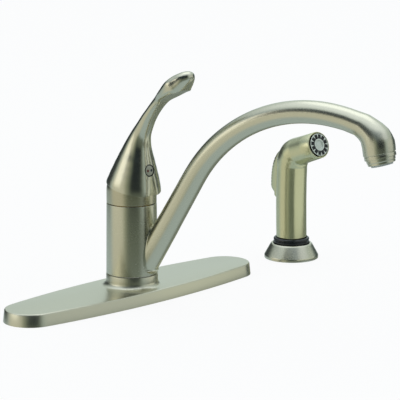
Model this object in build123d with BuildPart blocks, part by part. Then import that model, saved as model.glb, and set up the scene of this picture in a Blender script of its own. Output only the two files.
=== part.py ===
from build123d import *
import math
import os

# Single-handle kitchen faucet on an 8 in deck plate, with its side sprayer in the fourth sink hole.
# Frame: origin at the centre of the plate's footprint on the deck, +X towards the sprayer,
# -Y towards the user, +Z up. Millimetres.

# ---- driving dimensions ----------------------------------------------------------------
HOLE_PITCH = 101.6          # 4 in between neighbouring holes of the sink ledge
PLATE_LENGTH = 275.0
PLATE_WIDTH = 64.8
PLATE_END_RADIUS = 23.5
PLATE_HEIGHT = 10.6
PLATE_DRAFT = 6.0           # degrees, on the plate's edge
PLATE_WALL = 2.4
COLLAR_TOP = 20.9           # top of the collar that the spout turns on

SLEEVE_BOTTOM = 21.4
SLEEVE_TOP = 82.3
SLEEVE_R_BOTTOM = 22.1
SLEEVE_R_TOP = 21.45
TURRET_R = 18.4             # brass body inside the sleeve
RUNNING_GAP = 0.08          # radial clearance of a turning fit

SPOUT_SWING = 15.0          # degrees from -Y towards +X, as photographed
SPOUT_RISE = 59.4           # degrees above the horizontal where the tube leaves the sleeve
SPOUT_RISE_START = (17.3, 35.1)
SPOUT_RISE_LENGTH = 88.5
SPOUT_CROWN_R = 128.8
SPOUT_WALL = 1.6
OUTLET_LEAN = 15.0          # degrees that the outlet leans outwards
AERATOR_R = 11.9

PIVOT_Z = 88.0              # height of the lever's cross pin
LEVER_REST = 11.0           # degrees that the closed lever leans forward
CAP_R = 21.4
CAP_TOP = 104.0
CAP_CORNER = 10.0
SKIRT_CAVITY_R = 23.5       # spherical hollow of the handle, centred on the pivot
BUTTON_Z = 114.0
BUTTON_R = 4.3
BUTTON_SEAT = 19.2          # seat of the button, in front of the faucet's axis
BUTTON_T = 2.6

SPRAY_X = 2 * HOLE_PITCH
SPRAY_YAW = 6.0             # degrees that the sprayer's nozzle turns from -Y towards -X
SPRAY_R = 14.0
SPRAY_BOTTOM = 17.0         # foot of the sprayer, seated in its holder
SPRAY_ELBOW_Z = 97.6
SPRAY_TILT = 20.0           # degrees that the head rises
SPRAY_HEAD_R = 12.2
SPRAY_HEAD_REACH = 39.4     # elbow to nozzle face
FLANGE_R = 25.0
FLANGE_TOP = 14.0

STUD_R = 6.35               # 1/2 in studs
STUD_THREAD_R = 6.15
STUD_BELOW = 46.0
WASHER_T = 1.6
DECK_T = 20.0               # sink ledge that the nuts are drawn up to

os.makedirs("parts", exist_ok=True)


def save(part, name):
    part.label = name
    export_step(part, f"parts/{name}.step")


def ring_profile(inner_r, outer_r, low, high):
    """A rectangle in the XZ half plane, for a ring that is revolved about Z."""
    width = outer_r - inner_r
    with BuildSketch(Plane.XZ) as profile:
        with Locations(((inner_r + outer_r) / 2, (low + high) / 2)):
            Rectangle(width, high - low)
    return profile.sketch


def plate_outline(inset=0.0):
    """The plate's plan: two long shallow side arcs that run tangent into round ends."""
    half_l = PLATE_LENGTH / 2 - inset
    half_w = PLATE_WIDTH / 2 - inset
    end_r = PLATE_END_RADIUS - inset
    centre_x = half_l - end_r
    side_r = (centre_x**2 / (half_w - end_r) + end_r + half_w) / 2
    reach = side_r / (side_r - end_r)
    side_y = half_w - side_r
    touch_x = centre_x * reach
    touch_y = side_y * (1 - reach)
    with BuildSketch() as outline:
        with BuildLine():
            ThreePointArc((touch_x, touch_y), (0, half_w), (-touch_x, touch_y))
            ThreePointArc((-touch_x, touch_y), (-half_l, 0), (-touch_x, -touch_y))
            ThreePointArc((-touch_x, -touch_y), (0, -half_w), (touch_x, -touch_y))
            ThreePointArc((touch_x, -touch_y), (half_l, 0), (touch_x, touch_y))
        make_face()
    return outline.sketch


# ---- deck plate ------------------------------------------------------------------------
PLATE_EDGE_FILLET = 1.1
COLLAR_R = 22.3
COLLAR_BLEND = 4.5
GASKET_T = 2.0
GASKET_HOLE_R = 7.6


def is_collar_foot(edge):
    at_plate_top = abs(edge.center().Z - PLATE_HEIGHT) < 0.01
    return edge.geom_type == GeomType.CIRCLE and at_plate_top and abs(edge.radius - COLLAR_R) < 0.01


with BuildPart() as deck_plate:
    add(plate_outline())
    extrude(amount=PLATE_HEIGHT, taper=PLATE_DRAFT)
    fillet(deck_plate.faces().sort_by(Axis.Z)[-1].edges(), PLATE_EDGE_FILLET)
    with BuildSketch(Plane.XY.offset(PLATE_HEIGHT)):
        Circle(COLLAR_R)
    extrude(amount=COLLAR_TOP - PLATE_HEIGHT)
    collar_foot = deck_plate.edges().filter_by(is_collar_foot)
    fillet(collar_foot, COLLAR_BLEND)
    chamfer(deck_plate.faces().sort_by(Axis.Z)[-1].edges(), 0.5)
    add(plate_outline(PLATE_WALL + 0.8))
    extrude(amount=PLATE_HEIGHT - PLATE_WALL, mode=Mode.SUBTRACT)
    with BuildSketch():
        Circle(TURRET_R + 0.3)
    extrude(amount=COLLAR_TOP + 1, mode=Mode.SUBTRACT)
    # recess for the glide ring
    with BuildSketch(Plane.XY.offset(COLLAR_TOP - 1.6)):
        Circle(TURRET_R + 2.4)
    extrude(amount=5, mode=Mode.SUBTRACT)
    # pads over the studs
    with BuildSketch(Plane.XY.offset(7.0)):
        with Locations((-HOLE_PITCH, 0), (HOLE_PITCH, 0)):
            Circle(STUD_R + 3)
    extrude(amount=1.4)
    # stiffening ribs under the long stretches
    with BuildSketch(Plane.XY.offset(6.6)):
        with Locations((-62, 0), (62, 0)):
            Rectangle(1.8, PLATE_WIDTH - 2 * PLATE_WALL - 5)
    extrude(amount=1.8)
save(deck_plate.part, "deck_plate")

with BuildPart() as plate_gasket:
    add(plate_outline(PLATE_WALL + 1.1))
    extrude(amount=GASKET_T)
    with BuildSketch():
        Circle(20.0)
        with Locations((-HOLE_PITCH, 0), (HOLE_PITCH, 0)):
            Circle(GASKET_HOLE_R)
    extrude(amount=GASKET_T, mode=Mode.SUBTRACT)
save(plate_gasket.part, "plate_gasket")

# ---- brass valve body ------------------------------------------------------------------
BAR_T = 4.2
BAR_BOTTOM = GASKET_T + 0.02
BAR_WIDTH = 27.0
CARTRIDGE_R = 15.5
CARTRIDGE_SEAT = 64.0
TURRET_TOP = 90.0
SEAL_HEIGHTS = (27.0, 77.0)
WATERWAY_R = 15.8
INLET_R = 4.7
INLET_X = 8.6
INLET_Y = 4.5
OUTLET_NIPPLE_Y = -8.6
DIVERTER_Z = 47.0
DIVERTER_R = 5.0

with BuildPart() as valve_body:
    with BuildSketch(Plane.XY.offset(BAR_BOTTOM)):
        SlotCenterToCenter(2 * HOLE_PITCH, BAR_WIDTH)
    extrude(amount=BAR_T)
    with BuildSketch(Plane.XY.offset(BAR_BOTTOM)):
        Circle(TURRET_R)
    extrude(amount=TURRET_TOP - BAR_BOTTOM)
    with BuildSketch(Plane.XY.offset(CARTRIDGE_SEAT)):
        Circle(CARTRIDGE_R + 0.1)
    extrude(amount=TURRET_TOP, mode=Mode.SUBTRACT)
    # grooves for the two spout seals, and the annular waterway between them
    for seal_z in SEAL_HEIGHTS:
        add(ring_profile(TURRET_R - 1.7, TURRET_R + 2, seal_z - 1.4, seal_z + 1.4))
        revolve(axis=Axis.Z, mode=Mode.SUBTRACT)
    add(ring_profile(WATERWAY_R, TURRET_R + 2, 36, 59))
    revolve(axis=Axis.Z, mode=Mode.SUBTRACT)
    # hot and cold ways up to the cartridge, and the mixed water's way down to the sprayer
    with BuildSketch(Plane.XY.offset(BAR_BOTTOM)):
        with Locations((-INLET_X, INLET_Y), (INLET_X, INLET_Y)):
            Circle(3.2)
    extrude(amount=CARTRIDGE_SEAT, mode=Mode.SUBTRACT)
    with BuildSketch(Plane.XY.offset(BAR_BOTTOM)):
        with Locations((0, OUTLET_NIPPLE_Y)):
            Circle(3.0)
    extrude(amount=DIVERTER_Z - BAR_BOTTOM, mode=Mode.SUBTRACT)
    # diverter pocket, open to the waterway at the front
    with BuildSketch(Plane.XZ.offset(4.5)):
        with Locations((0, DIVERTER_Z)):
            Circle(DIVERTER_R + 0.05)
    extrude(amount=20, mode=Mode.SUBTRACT)
    # tapped sockets for the nipples below and for the studs
    with BuildSketch(Plane.XY.offset(BAR_BOTTOM)):
        with Locations((-INLET_X, INLET_Y), (INLET_X, INLET_Y)):
            Circle(INLET_R)
        with Locations((0, OUTLET_NIPPLE_Y)):
            Circle(INLET_R)
    extrude(amount=8, mode=Mode.SUBTRACT)
    with BuildSketch(Plane.XY.offset(BAR_BOTTOM)):
        with Locations((-HOLE_PITCH, 0), (HOLE_PITCH, 0)):
            Circle(STUD_R - 0.8)
    extrude(amount=BAR_T, mode=Mode.SUBTRACT)
save(valve_body.part, "valve_body")


def o_ring(seal_z, ring_r, section_r):
    with BuildSketch(Plane.XZ) as section:
        with Locations((ring_r, seal_z)):
            Circle(section_r)
    return section.sketch


with BuildPart() as spout_seals:
    for seal_z in SEAL_HEIGHTS:
        add(o_ring(seal_z, TURRET_R - 1.7 + 0.02 + 0.88, 0.86))
        revolve(axis=Axis.Z)
save(spout_seals.part, "spout_seals")

with BuildPart() as spout_glide_ring:
    add(ring_profile(TURRET_R + 0.35, TURRET_R + 2.35, COLLAR_TOP - 1.58, SLEEVE_BOTTOM - 0.08))
    revolve(axis=Axis.Z)
save(spout_glide_ring.part, "spout_glide_ring")

with BuildPart() as diverter_valve:
    with BuildSketch(Plane.XZ.offset(4.6)):
        with Locations((0, DIVERTER_Z)):
            Circle(DIVERTER_R - 0.6)
    extrude(amount=6)
    with BuildSketch(Plane.XZ.offset(10.6)):
        with Locations((0, DIVERTER_Z)):
            Circle(DIVERTER_R)
    extrude(amount=4.6)
    # rubber cup's mouth and the screen holes in its face
    with BuildSketch(Plane.XZ.offset(15.2)):
        with Locations((0, DIVERTER_Z)):
            Circle(DIVERTER_R - 1.4)
    extrude(amount=-3, mode=Mode.SUBTRACT)
    with BuildSketch(Plane.XZ.offset(4.6)):
        with Locations((0, DIVERTER_Z)):
            Circle(1.6)
    extrude(amount=8, mode=Mode.SUBTRACT)
save(diverter_valve.part, "diverter_valve")

# ---- plumbing and mounting hardware below the deck -----------------------------------
SPIGOT_TOP = BAR_BOTTOM + 7.9
SPIGOT_LENGTH = 14.0
HEX_AF = 12.0
HEX_H = 5.0
TAIL_R = 6.0
TAIL_LENGTH = 18.0
WATER_R = 3.2


def nipple(places):
    """Brass nipples: a spigot screwed into the body, a hex for the spanner, a tail for the line."""
    with BuildPart() as body:
        with BuildSketch(Plane.XY.offset(SPIGOT_TOP)):
            with Locations(places):
                Circle(INLET_R - 0.03)
        extrude(amount=-SPIGOT_LENGTH)
        with BuildSketch(Plane.XY.offset(SPIGOT_TOP - SPIGOT_LENGTH)):
            with Locations(places):
                RegularPolygon(HEX_AF / 2, 6, major_radius=False)
        extrude(amount=-HEX_H)
        with BuildSketch(Plane.XY.offset(SPIGOT_TOP - SPIGOT_LENGTH - HEX_H)):
            with Locations(places):
                Circle(TAIL_R)
        extrude(amount=-TAIL_LENGTH)
        with BuildSketch(Plane.XY.offset(SPIGOT_TOP)):
            with Locations(places):
                Circle(WATER_R)
        extrude(amount=-(SPIGOT_LENGTH + HEX_H + TAIL_LENGTH), mode=Mode.SUBTRACT)
    return body.part


supply_inlets = nipple([(-INLET_X, INLET_Y), (INLET_X, INLET_Y)])
save(supply_inlets, "supply_inlets")
spray_outlet = nipple([(0, OUTLET_NIPPLE_Y)])
save(spray_outlet, "spray_outlet")

STUD_PLACES = [(-HOLE_PITCH, 0), (HOLE_PITCH, 0)]
NUT_HUB_R = 11.0
NUT_H = 12.0
WING_REACH = 21.0

with BuildPart() as mounting_studs:
    with BuildSketch(Plane.XY.offset(BAR_BOTTOM + BAR_T + 0.6)):
        with Locations(STUD_PLACES):
            Circle(STUD_R - 0.82)
    extrude(amount=-BAR_T - 0.6)
    with BuildSketch(Plane.XY.offset(BAR_BOTTOM - 0.02)):
        with Locations(STUD_PLACES):
            Circle(STUD_THREAD_R)
    extrude(amount=-STUD_BELOW - BAR_BOTTOM)
    # plain shoulder through the ledge
    with BuildSketch(Plane.XY.offset(BAR_BOTTOM - 0.02)):
        with Locations(STUD_PLACES):
            Circle(STUD_R)
    extrude(amount=-DECK_T - 1.4)
    with BuildSketch(Plane.XY.offset(BAR_BOTTOM + 0.5)):
        with Locations(STUD_PLACES):
            Circle(STUD_R - 0.82)
    extrude(amount=-1)
    chamfer(mounting_studs.faces().group_by(Axis.Z)[0].edges(), 1.0)
save(mounting_studs.part, "mounting_studs")

with BuildPart() as mounting_washers:
    with BuildSketch(Plane.XY.offset(-DECK_T)):
        with Locations(STUD_PLACES):
            Circle(17.0)
            Circle(STUD_R + 0.3, mode=Mode.SUBTRACT)
    extrude(amount=-WASHER_T)
save(mounting_washers.part, "mounting_washers")

with BuildPart() as mounting_nuts:
    with BuildSketch(Plane.XY.offset(-DECK_T - WASHER_T - 0.02)):
        with Locations(STUD_PLACES):
            Circle(NUT_HUB_R)
    extrude(amount=-NUT_H)
    with BuildSketch(Plane.XY.offset(-DECK_T - WASHER_T - 1.5)):
        with Locations(STUD_PLACES):
            Rectangle(2 * WING_REACH, 5.0)
    extrude(amount=-NUT_H + 3)
    fillet(mounting_nuts.edges().filter_by(Axis.Z), 1.5)
    with BuildSketch(Plane.XY.offset(-DECK_T)):
        with Locations(STUD_PLACES):
            Circle(STUD_THREAD_R + 0.05)
    extrude(amount=-40, mode=Mode.SUBTRACT)
save(mounting_nuts.part, "mounting_nuts")

# ---- spout -----------------------------------------------------------------------------
# It lies in a vertical plane through Z: local x runs outwards from the faucet's axis, local y up.


def upright_plane(origin_x, swing):
    """A vertical plane facing the user's side, turned by swing degrees from -Y towards +X."""
    out_x = math.sin(math.radians(swing))
    out_y = -math.cos(math.radians(swing))
    return Plane(origin=(origin_x, 0, 0), x_dir=(out_x, out_y, 0), z_dir=(out_y, -out_x, 0))


def station(side, along, height, heading):
    """A plane square to a tube's axis, where that axis passes (along, height) at heading degrees."""
    place = side.from_local_coords(Vector(along, height, 0))
    cosine, sine = math.cos(math.radians(heading)), math.sin(math.radians(heading))
    direction = side.x_dir * cosine + side.y_dir * sine
    return Plane(origin=place, x_dir=side.z_dir, z_dir=direction)


def round_tube(side, stations, shrink=0.0):
    """A lofted tube through circles at (along, height, heading, radius)."""
    with BuildPart() as tube:
        for along, height, heading, radius in stations:
            with BuildSketch(station(side, along, height, heading)):
                Circle(radius - shrink)
        loft()
    return tube.part


SPOUT_FOOT = (9.6, 22.0)        # where the tube's axis starts, inside the sleeve
SPOUT_FOOT_TRIM = 25.5          # the tube is cut level just above the spout's lower edge
TUBE_R = 9.5
TUBE_R_FOOT = 10.9
OUTLET_END = (231.4, 146.2)     # centre of the bell's lower edge
OUTLET_HEADING = -90 + OUTLET_LEAN
BEAD_H = 3.6

rise_cos = math.cos(math.radians(SPOUT_RISE))
rise_sin = math.sin(math.radians(SPOUT_RISE))


def on_rise(distance):
    return SPOUT_RISE_START[0] + distance * rise_cos, SPOUT_RISE_START[1] + distance * rise_sin


crown_start = on_rise(SPOUT_RISE_LENGTH)
crown_centre = (
    crown_start[0] + SPOUT_CROWN_R * rise_sin,
    crown_start[1] - SPOUT_CROWN_R * rise_cos,
)


def on_crown(heading):
    across = crown_centre[0] - SPOUT_CROWN_R * math.sin(math.radians(heading))
    up = crown_centre[1] + SPOUT_CROWN_R * math.cos(math.radians(heading))
    return across, up


spout_stations = [
    (*on_rise(-15.2), SPOUT_RISE, TUBE_R_FOOT),
    (*on_rise(15), SPOUT_RISE, 10.75),
    (*on_rise(45), SPOUT_RISE, 10.2),
    (*on_rise(70), SPOUT_RISE, 9.9),
    (*on_crown(56), 56, 9.65),
    (*on_crown(45), 45, 9.5),
    (*on_crown(30), 30, 9.35),
    (*on_crown(15), 15, 9.4),
    (*on_crown(0), 0, TUBE_R),
    (*on_crown(-10), -10, TUBE_R),
    (207.3, 170.0, -18, 9.55),
    (219.0, 166.0, -40, 10.6),
    (226.9, 160.2, -60, 12.4),
    (230.2, 153.6, -71, 13.4),
    (*OUTLET_END, OUTLET_HEADING, 13.3),
]

spout_side = upright_plane(0, SPOUT_SWING)
outlet_plane = station(spout_side, *OUTLET_END, OUTLET_HEADING)
bead_plane = outlet_plane.offset(BEAD_H)
SLEEVE_BORE = TURRET_R + RUNNING_GAP

with BuildPart() as spout:
    add(round_tube(spout_side, spout_stations))
    with BuildSketch():
        Rectangle(120, 120)
    extrude(amount=SPOUT_FOOT_TRIM, mode=Mode.SUBTRACT)
    with BuildSketch(Plane.XZ):
        with BuildLine():
            Polyline(
                (0, SLEEVE_BOTTOM),
                (SLEEVE_R_BOTTOM - 0.5, SLEEVE_BOTTOM),
                (SLEEVE_R_BOTTOM, SLEEVE_BOTTOM + 0.5),
                (SLEEVE_R_TOP, SLEEVE_TOP - 0.5),
                (SLEEVE_R_TOP - 0.5, SLEEVE_TOP),
                (0, SLEEVE_TOP),
                close=True,
            )
        make_face()
    revolve(axis=Axis.Z)
    # the bead under the bell, then the socket for the aerator
    with BuildSketch(outlet_plane):
        Circle(12.9)
    extrude(amount=BEAD_H)
    add(round_tube(spout_side, spout_stations, SPOUT_WALL), mode=Mode.SUBTRACT)
    with BuildSketch(bead_plane):
        Circle(10.6)
    extrude(amount=-7.0, mode=Mode.SUBTRACT)
    with BuildSketch():
        Circle(SLEEVE_BORE)
    extrude(amount=SLEEVE_TOP + 1, mode=Mode.SUBTRACT)
save(spout.part, "spout")

AERATOR_TIP_R = 10.7
AERATOR_H = 8.4

with BuildPart() as aerator_shell:
    with BuildSketch(bead_plane.offset(0.02)):
        Circle(AERATOR_R)
    with BuildSketch(bead_plane.offset(AERATOR_H)):
        Circle(AERATOR_TIP_R)
    loft()
    fillet(aerator_shell.faces().sort_by(Axis.Z)[0].edges(), 0.8)
    with BuildSketch(bead_plane.offset(0.02)):
        Circle(10.55)
    extrude(amount=-5.5)
    with BuildSketch(bead_plane.offset(AERATOR_H + 1)):
        Circle(8.2)
    extrude(amount=-20, mode=Mode.SUBTRACT)
    with BuildSketch(bead_plane.offset(AERATOR_H - 2.2)):
        Circle(9.0)
    extrude(amount=-20, mode=Mode.SUBTRACT)
save(aerator_shell.part, "aerator_shell")

with BuildPart() as aerator_washer:
    with BuildSketch(bead_plane.offset(-5.5)):
        Circle(10.5)
        Circle(7.4, mode=Mode.SUBTRACT)
    extrude(amount=-1.4)
save(aerator_washer.part, "aerator_washer")

with BuildPart() as aerator_screen:
    with BuildSketch(bead_plane.offset(AERATOR_H - 2.25)):
        Circle(8.95)
    extrude(amount=-10)
    with BuildSketch(bead_plane.offset(AERATOR_H)):
        with PolarLocations(3.1, 6):
            Circle(0.9)
        with PolarLocations(6.2, 12):
            Circle(0.9)
    extrude(amount=-20, mode=Mode.SUBTRACT)
save(aerator_screen.part, "aerator_screen")

# ---- ceramic cartridge -----------------------------------------------------------------
GASKET_DISC_T = 1.2
HOUSING_FLOOR = CARTRIDGE_SEAT + GASKET_DISC_T + 0.04
HOUSING_TOP = TURRET_TOP + 0.4
HOUSING_R_IN = 13.9
DISC_BED = HOUSING_FLOOR + 4.0
FIXED_DISC_T = 3.4
DISC_T = 3.3
DISC_R = 11.8
DRIVER_T = 4.6
CARRIER_BOTTOM = 81.2
CARRIER_TOP = 91.2
PIN_R = 1.5
BALL_ARM = 9.0              # cross pin to the centre of the lever's ball end
BALL_R = 2.4
STEM_R = 4.0
STEM_UP = 36.0
SCREW_R = 2.5
disc_rest_y = BALL_ARM * math.sin(math.radians(LEVER_REST))
lapped_face = DISC_BED + FIXED_DISC_T
disc_bottom = lapped_face + 0.05
disc_top = disc_bottom + DISC_T
PORT_PLACES = [(-6.4, 4.5), (6.4, 4.5), (0, -7.4)]


def ports(radius):
    with BuildSketch(Plane.XY.offset(CARTRIDGE_SEAT)) as holes:
        with Locations(PORT_PLACES):
            Circle(radius)
    return holes.sketch


with BuildPart() as cartridge_gasket:
    with BuildSketch(Plane.XY.offset(CARTRIDGE_SEAT + 0.02)):
        Circle(14.6)
    extrude(amount=GASKET_DISC_T)
    add(ports(3.3))
    extrude(amount=5, mode=Mode.SUBTRACT)
save(cartridge_gasket.part, "cartridge_gasket")

with BuildPart() as cartridge_housing:
    with BuildSketch(Plane.XY.offset(HOUSING_FLOOR)):
        Circle(CARTRIDGE_R)
    extrude(amount=HOUSING_TOP - HOUSING_FLOOR)
    with BuildSketch(Plane.XY.offset(DISC_BED - 0.02)):
        Circle(HOUSING_R_IN)
    extrude(amount=40, mode=Mode.SUBTRACT)
    add(ports(3.0))
    extrude(amount=8, mode=Mode.SUBTRACT)
save(cartridge_housing.part, "cartridge_housing")

with BuildPart() as fixed_disc:
    with BuildSketch(Plane.XY.offset(DISC_BED)):
        Circle(HOUSING_R_IN - 0.05)
    extrude(amount=FIXED_DISC_T)
    add(ports(2.7))
    extrude(amount=20, mode=Mode.SUBTRACT)
save(fixed_disc.part, "fixed_disc")

with BuildPart() as sliding_disc:
    with BuildSketch(Plane.XY.offset(disc_bottom)):
        with Locations((0, disc_rest_y)):
            Circle(DISC_R)
    extrude(amount=DISC_T)
    # mixing chamber in its underside
    with BuildSketch(Plane.XY.offset(disc_bottom)):
        with Locations((0, disc_rest_y - 3)):
            SlotCenterToCenter(7, 7)
    extrude(amount=1.8, mode=Mode.SUBTRACT)
save(sliding_disc.part, "sliding_disc")

with BuildPart() as disc_driver:
    with BuildSketch(Plane.XY.offset(disc_top + 0.02)):
        with Locations((0, disc_rest_y)):
            Circle(DISC_R)
    extrude(amount=DRIVER_T)
    # tongues that slide in the carrier's grooves
    with BuildSketch(Plane.XY.offset(disc_top + DRIVER_T)):
        with Locations((-9, disc_rest_y), (9, disc_rest_y)):
            Rectangle(2.4, 9)
    extrude(amount=2.2)
    with BuildSketch(Plane.XY.offset(disc_top + 0.4)):
        with Locations((0, disc_rest_y)):
            Circle(BALL_R + 0.08)
    extrude(amount=10, mode=Mode.SUBTRACT)
save(disc_driver.part, "disc_driver")

with BuildPart() as lever_carrier:
    with BuildSketch(Plane.XY.offset(CARRIER_BOTTOM)):
        Circle(HOUSING_R_IN - 0.05)
    extrude(amount=CARRIER_TOP - CARRIER_BOTTOM)
    with BuildSketch(Plane.XY.offset(CARRIER_BOTTOM)):
        RectangleRounded(2 * STEM_R + 0.4, 2 * STEM_R + 4.0, 1.0)
    extrude(amount=20, mode=Mode.SUBTRACT)
    with BuildSketch(Plane.XY.offset(CARRIER_BOTTOM)):
        with Locations((-9, 0), (9, 0)):
            Rectangle(2.7, 40)
    extrude(amount=1.9, mode=Mode.SUBTRACT)
    with BuildSketch(Plane.YZ.offset(-20)):
        with Locations((0, PIVOT_Z)):
            Circle(PIN_R + 0.02)
    extrude(amount=40, mode=Mode.SUBTRACT)
save(lever_carrier.part, "lever_carrier")

with BuildPart() as lever_pin:
    with BuildSketch(Plane.YZ.offset(-12)):
        with Locations((0, PIVOT_Z)):
            Circle(PIN_R)
    extrude(amount=24)
save(lever_pin.part, "lever_pin")

rest_sin = math.sin(math.radians(LEVER_REST))
rest_cos = math.cos(math.radians(LEVER_REST))
stem_plane = Plane(origin=(0, 0, PIVOT_Z), x_dir=(1, 0, 0), z_dir=(0, -rest_sin, rest_cos))

with BuildPart() as lever_stem:
    with BuildSketch(stem_plane.offset(-4.4)):
        Circle(STEM_R)
    extrude(amount=STEM_UP + 4.4)
    chamfer(lever_stem.faces().sort_by(Axis.Z)[-1].edges(), 0.6)
    with BuildSketch(stem_plane.offset(-BALL_ARM)):
        Circle(1.8)
    extrude(amount=6)
    with Locations(stem_plane.offset(-BALL_ARM)):
        Sphere(BALL_R)
    # flat for the set screw
    with BuildSketch(stem_plane.offset(19)):
        with Locations((0, -STEM_R - 2.2)):
            Rectangle(12, 6)
    extrude(amount=STEM_UP, mode=Mode.SUBTRACT)
    with BuildSketch(Plane.YZ.offset(-10)):
        with Locations((0, PIVOT_Z)):
            Circle(PIN_R + 0.05)
    extrude(amount=20, mode=Mode.SUBTRACT)
save(lever_stem.part, "lever_stem")

with BuildPart() as cap:
    with BuildSketch(Plane.XZ):
        with BuildLine():
            Polyline(
                (8.2, CAP_TOP),
                (8.2, 101.2),
                (13.0, 97.0),
                (13.0, CARRIER_TOP + 0.25),
                (14.4, CARRIER_TOP + 0.25),
                (14.4, HOUSING_TOP + 0.03),
                (TURRET_R + 0.05, HOUSING_TOP + 0.03),
                (TURRET_R + 0.05, SLEEVE_TOP + 0.45),
                (CAP_R - 0.5, SLEEVE_TOP + 0.45),
                (CAP_R, SLEEVE_TOP + 0.95),
                (CAP_R, CAP_TOP - CAP_CORNER),
            )
            corner = JernArc((CAP_R, CAP_TOP - CAP_CORNER), (0, 1), CAP_CORNER, 90)
            Line(corner @ 1, (8.2, CAP_TOP))
        make_face()
    revolve(axis=Axis.Z)
save(cap.part, "cap")

# ---- lever handle ----------------------------------------------------------------------
# Two ridges run up its front with a shallow valley between them. They close in towards the neck, and
# part again round the flat underside of the end. The stations run up the lever: (forward, height,
# heading, half width, back depth, front depth, ridge, valley), where ridge is how far each ridge
# stands from the middle, and valley how deep the face between them is hollowed.
HANDLE_STATIONS = [
    (2.2, 86.0, 90, 23.8, 23.6, 23.7, 7.0, 1.2),
    (2.2, 94.5, 90, 23.5, 23.3, 23.5, 6.0, 1.2),
    (1.9, 101.2, 89, 22.8, 22.5, 22.9, 5.0, 1.2),
    (3.1, 108.1, 88, 20.7, 20.4, 20.7, 4.0, 1.0),
    (4.6, 115.8, 86, 18.0, 17.9, 18.0, 2.9, 0.7),
    (6.1, 122.6, 83, 15.5, 15.3, 15.4, 2.2, 0.5),
    (7.7, 129.6, 77, 12.9, 12.5, 12.8, 1.8, 0.35),
    (9.8, 136.5, 69, 10.7, 10.0, 10.2, 1.6, 0.25),
    (12.9, 144.0, 62, 8.9, 7.8, 7.9, 1.5, 0.12),
    (17.6, 151.6, 57, 8.0, 6.3, 6.2, 1.4, 0.08),
    (22.1, 158.4, 53, 7.5, 5.4, 5.3, 1.4, 0.08),
    (28.8, 166.6, 48, 7.3, 4.7, 4.7, 2.3, 0.08),
    (38.5, 177.0, 43, 7.9, 4.6, 5.0, 5.3, 0.15),
    (47.0, 182.6, 38, 11.6, 6.2, 7.8, 9.4, 0.2),
    (56.4, 190.4, 31, 12.8, 6.8, 10.2, 9.0, 0.3),
    (62.0, 194.0, 28, 11.1, 6.3, 9.2, 4.0, 0.2),
    (67.8, 198.2, 25, 8.4, 4.4, 6.6, 1.2, 0.08),
    (71.3, 199.8, 22, 3.4, 1.8, 2.8, 0.5, 0.05),
]
RIM_HEIGHT = 97.6               # of the skirt's oblique rim, on the faucet's axis
RIM_SLOPE = 14.0                # degrees, rising to the back
SOCKET_R = STEM_R + 0.03
SET_SCREW_TIP = 8.8             # in front of the faucet's axis, against the stem
SET_SCREW_LENGTH = 8.0

handle_side = upright_plane(0, 0)


def ridged_egg(half_width, back, front, ridge, valley):
    """A section with a round back and a round front, where two ridges flank a hollowed face."""
    angle = math.degrees(math.asin(ridge / half_width))
    depth = front * math.cos(math.radians(angle))
    with BuildSketch() as section:
        with BuildLine():
            EllipticalCenterArc((0, 0), half_width, back, start_angle=0, arc_size=180)
            EllipticalCenterArc((0, 0), half_width, front, start_angle=180, arc_size=90 - angle)
            ThreePointArc((-ridge, -depth), (0, valley - depth), (ridge, -depth))
            EllipticalCenterArc((0, 0), half_width, front, start_angle=270 + angle, arc_size=90 - angle)
        make_face()
    return section.sketch


with BuildPart() as handle:
    for forward, height, heading, half_width, back, front, ridge, valley in HANDLE_STATIONS:
        lean_sin = math.sin(math.radians(heading))
        lean_cos = math.cos(math.radians(heading))
        centre = (0, -forward, height)
        with BuildSketch(Plane(origin=centre, x_dir=(1, 0, 0), z_dir=(0, -lean_cos, lean_sin))):
            add(ridged_egg(half_width, back, front, ridge, valley))
    loft()
    rim_plane = Plane.XY.offset(RIM_HEIGHT).rotated((RIM_SLOPE, 0, 0))
    split(bisect_by=rim_plane, keep=Keep.TOP)
    with Locations((0, 0, PIVOT_Z)):
        Sphere(SKIRT_CAVITY_R, mode=Mode.SUBTRACT)
    with BuildSketch(stem_plane):
        Circle(SOCKET_R)
    extrude(amount=STEM_UP + 1, mode=Mode.SUBTRACT)
    # tapped hole for the set screw and the button's seat in front of it
    with BuildSketch(Plane.XZ):
        with Locations((0, BUTTON_Z)):
            Circle(SCREW_R)
    extrude(amount=40, mode=Mode.SUBTRACT)
    with BuildSketch(Plane.XZ.offset(BUTTON_SEAT)):
        with Locations((0, BUTTON_Z)):
            Circle(BUTTON_R)
    extrude(amount=10, mode=Mode.SUBTRACT)
save(handle.part, "handle")

with BuildPart() as handle_set_screw:
    with BuildSketch(Plane.XZ.offset(SET_SCREW_TIP)):
        with Locations((0, BUTTON_Z)):
            Circle(SCREW_R - 0.02)
    extrude(amount=SET_SCREW_LENGTH)
    with BuildSketch(Plane.XZ.offset(SET_SCREW_TIP + SET_SCREW_LENGTH)):
        with Locations((0, BUTTON_Z)):
            RegularPolygon(1.25, 6, major_radius=False)
    extrude(amount=-3, mode=Mode.SUBTRACT)
save(handle_set_screw.part, "handle_set_screw")

with BuildPart() as temperature_button:
    with BuildSketch(Plane.XZ.offset(BUTTON_SEAT + 0.02)):
        with Locations((0, BUTTON_Z)):
            Circle(BUTTON_R - 0.08)
    extrude(amount=BUTTON_T)
    fillet(temperature_button.faces().sort_by(Axis.Y)[0].edges(), 0.5)
    with BuildSketch(Plane.XZ.offset(BUTTON_SEAT + 0.02)):
        with Locations((0, BUTTON_Z)):
            Circle(SCREW_R - 0.1)
    extrude(amount=-1.5)
save(temperature_button.part, "temperature_button")

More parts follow.
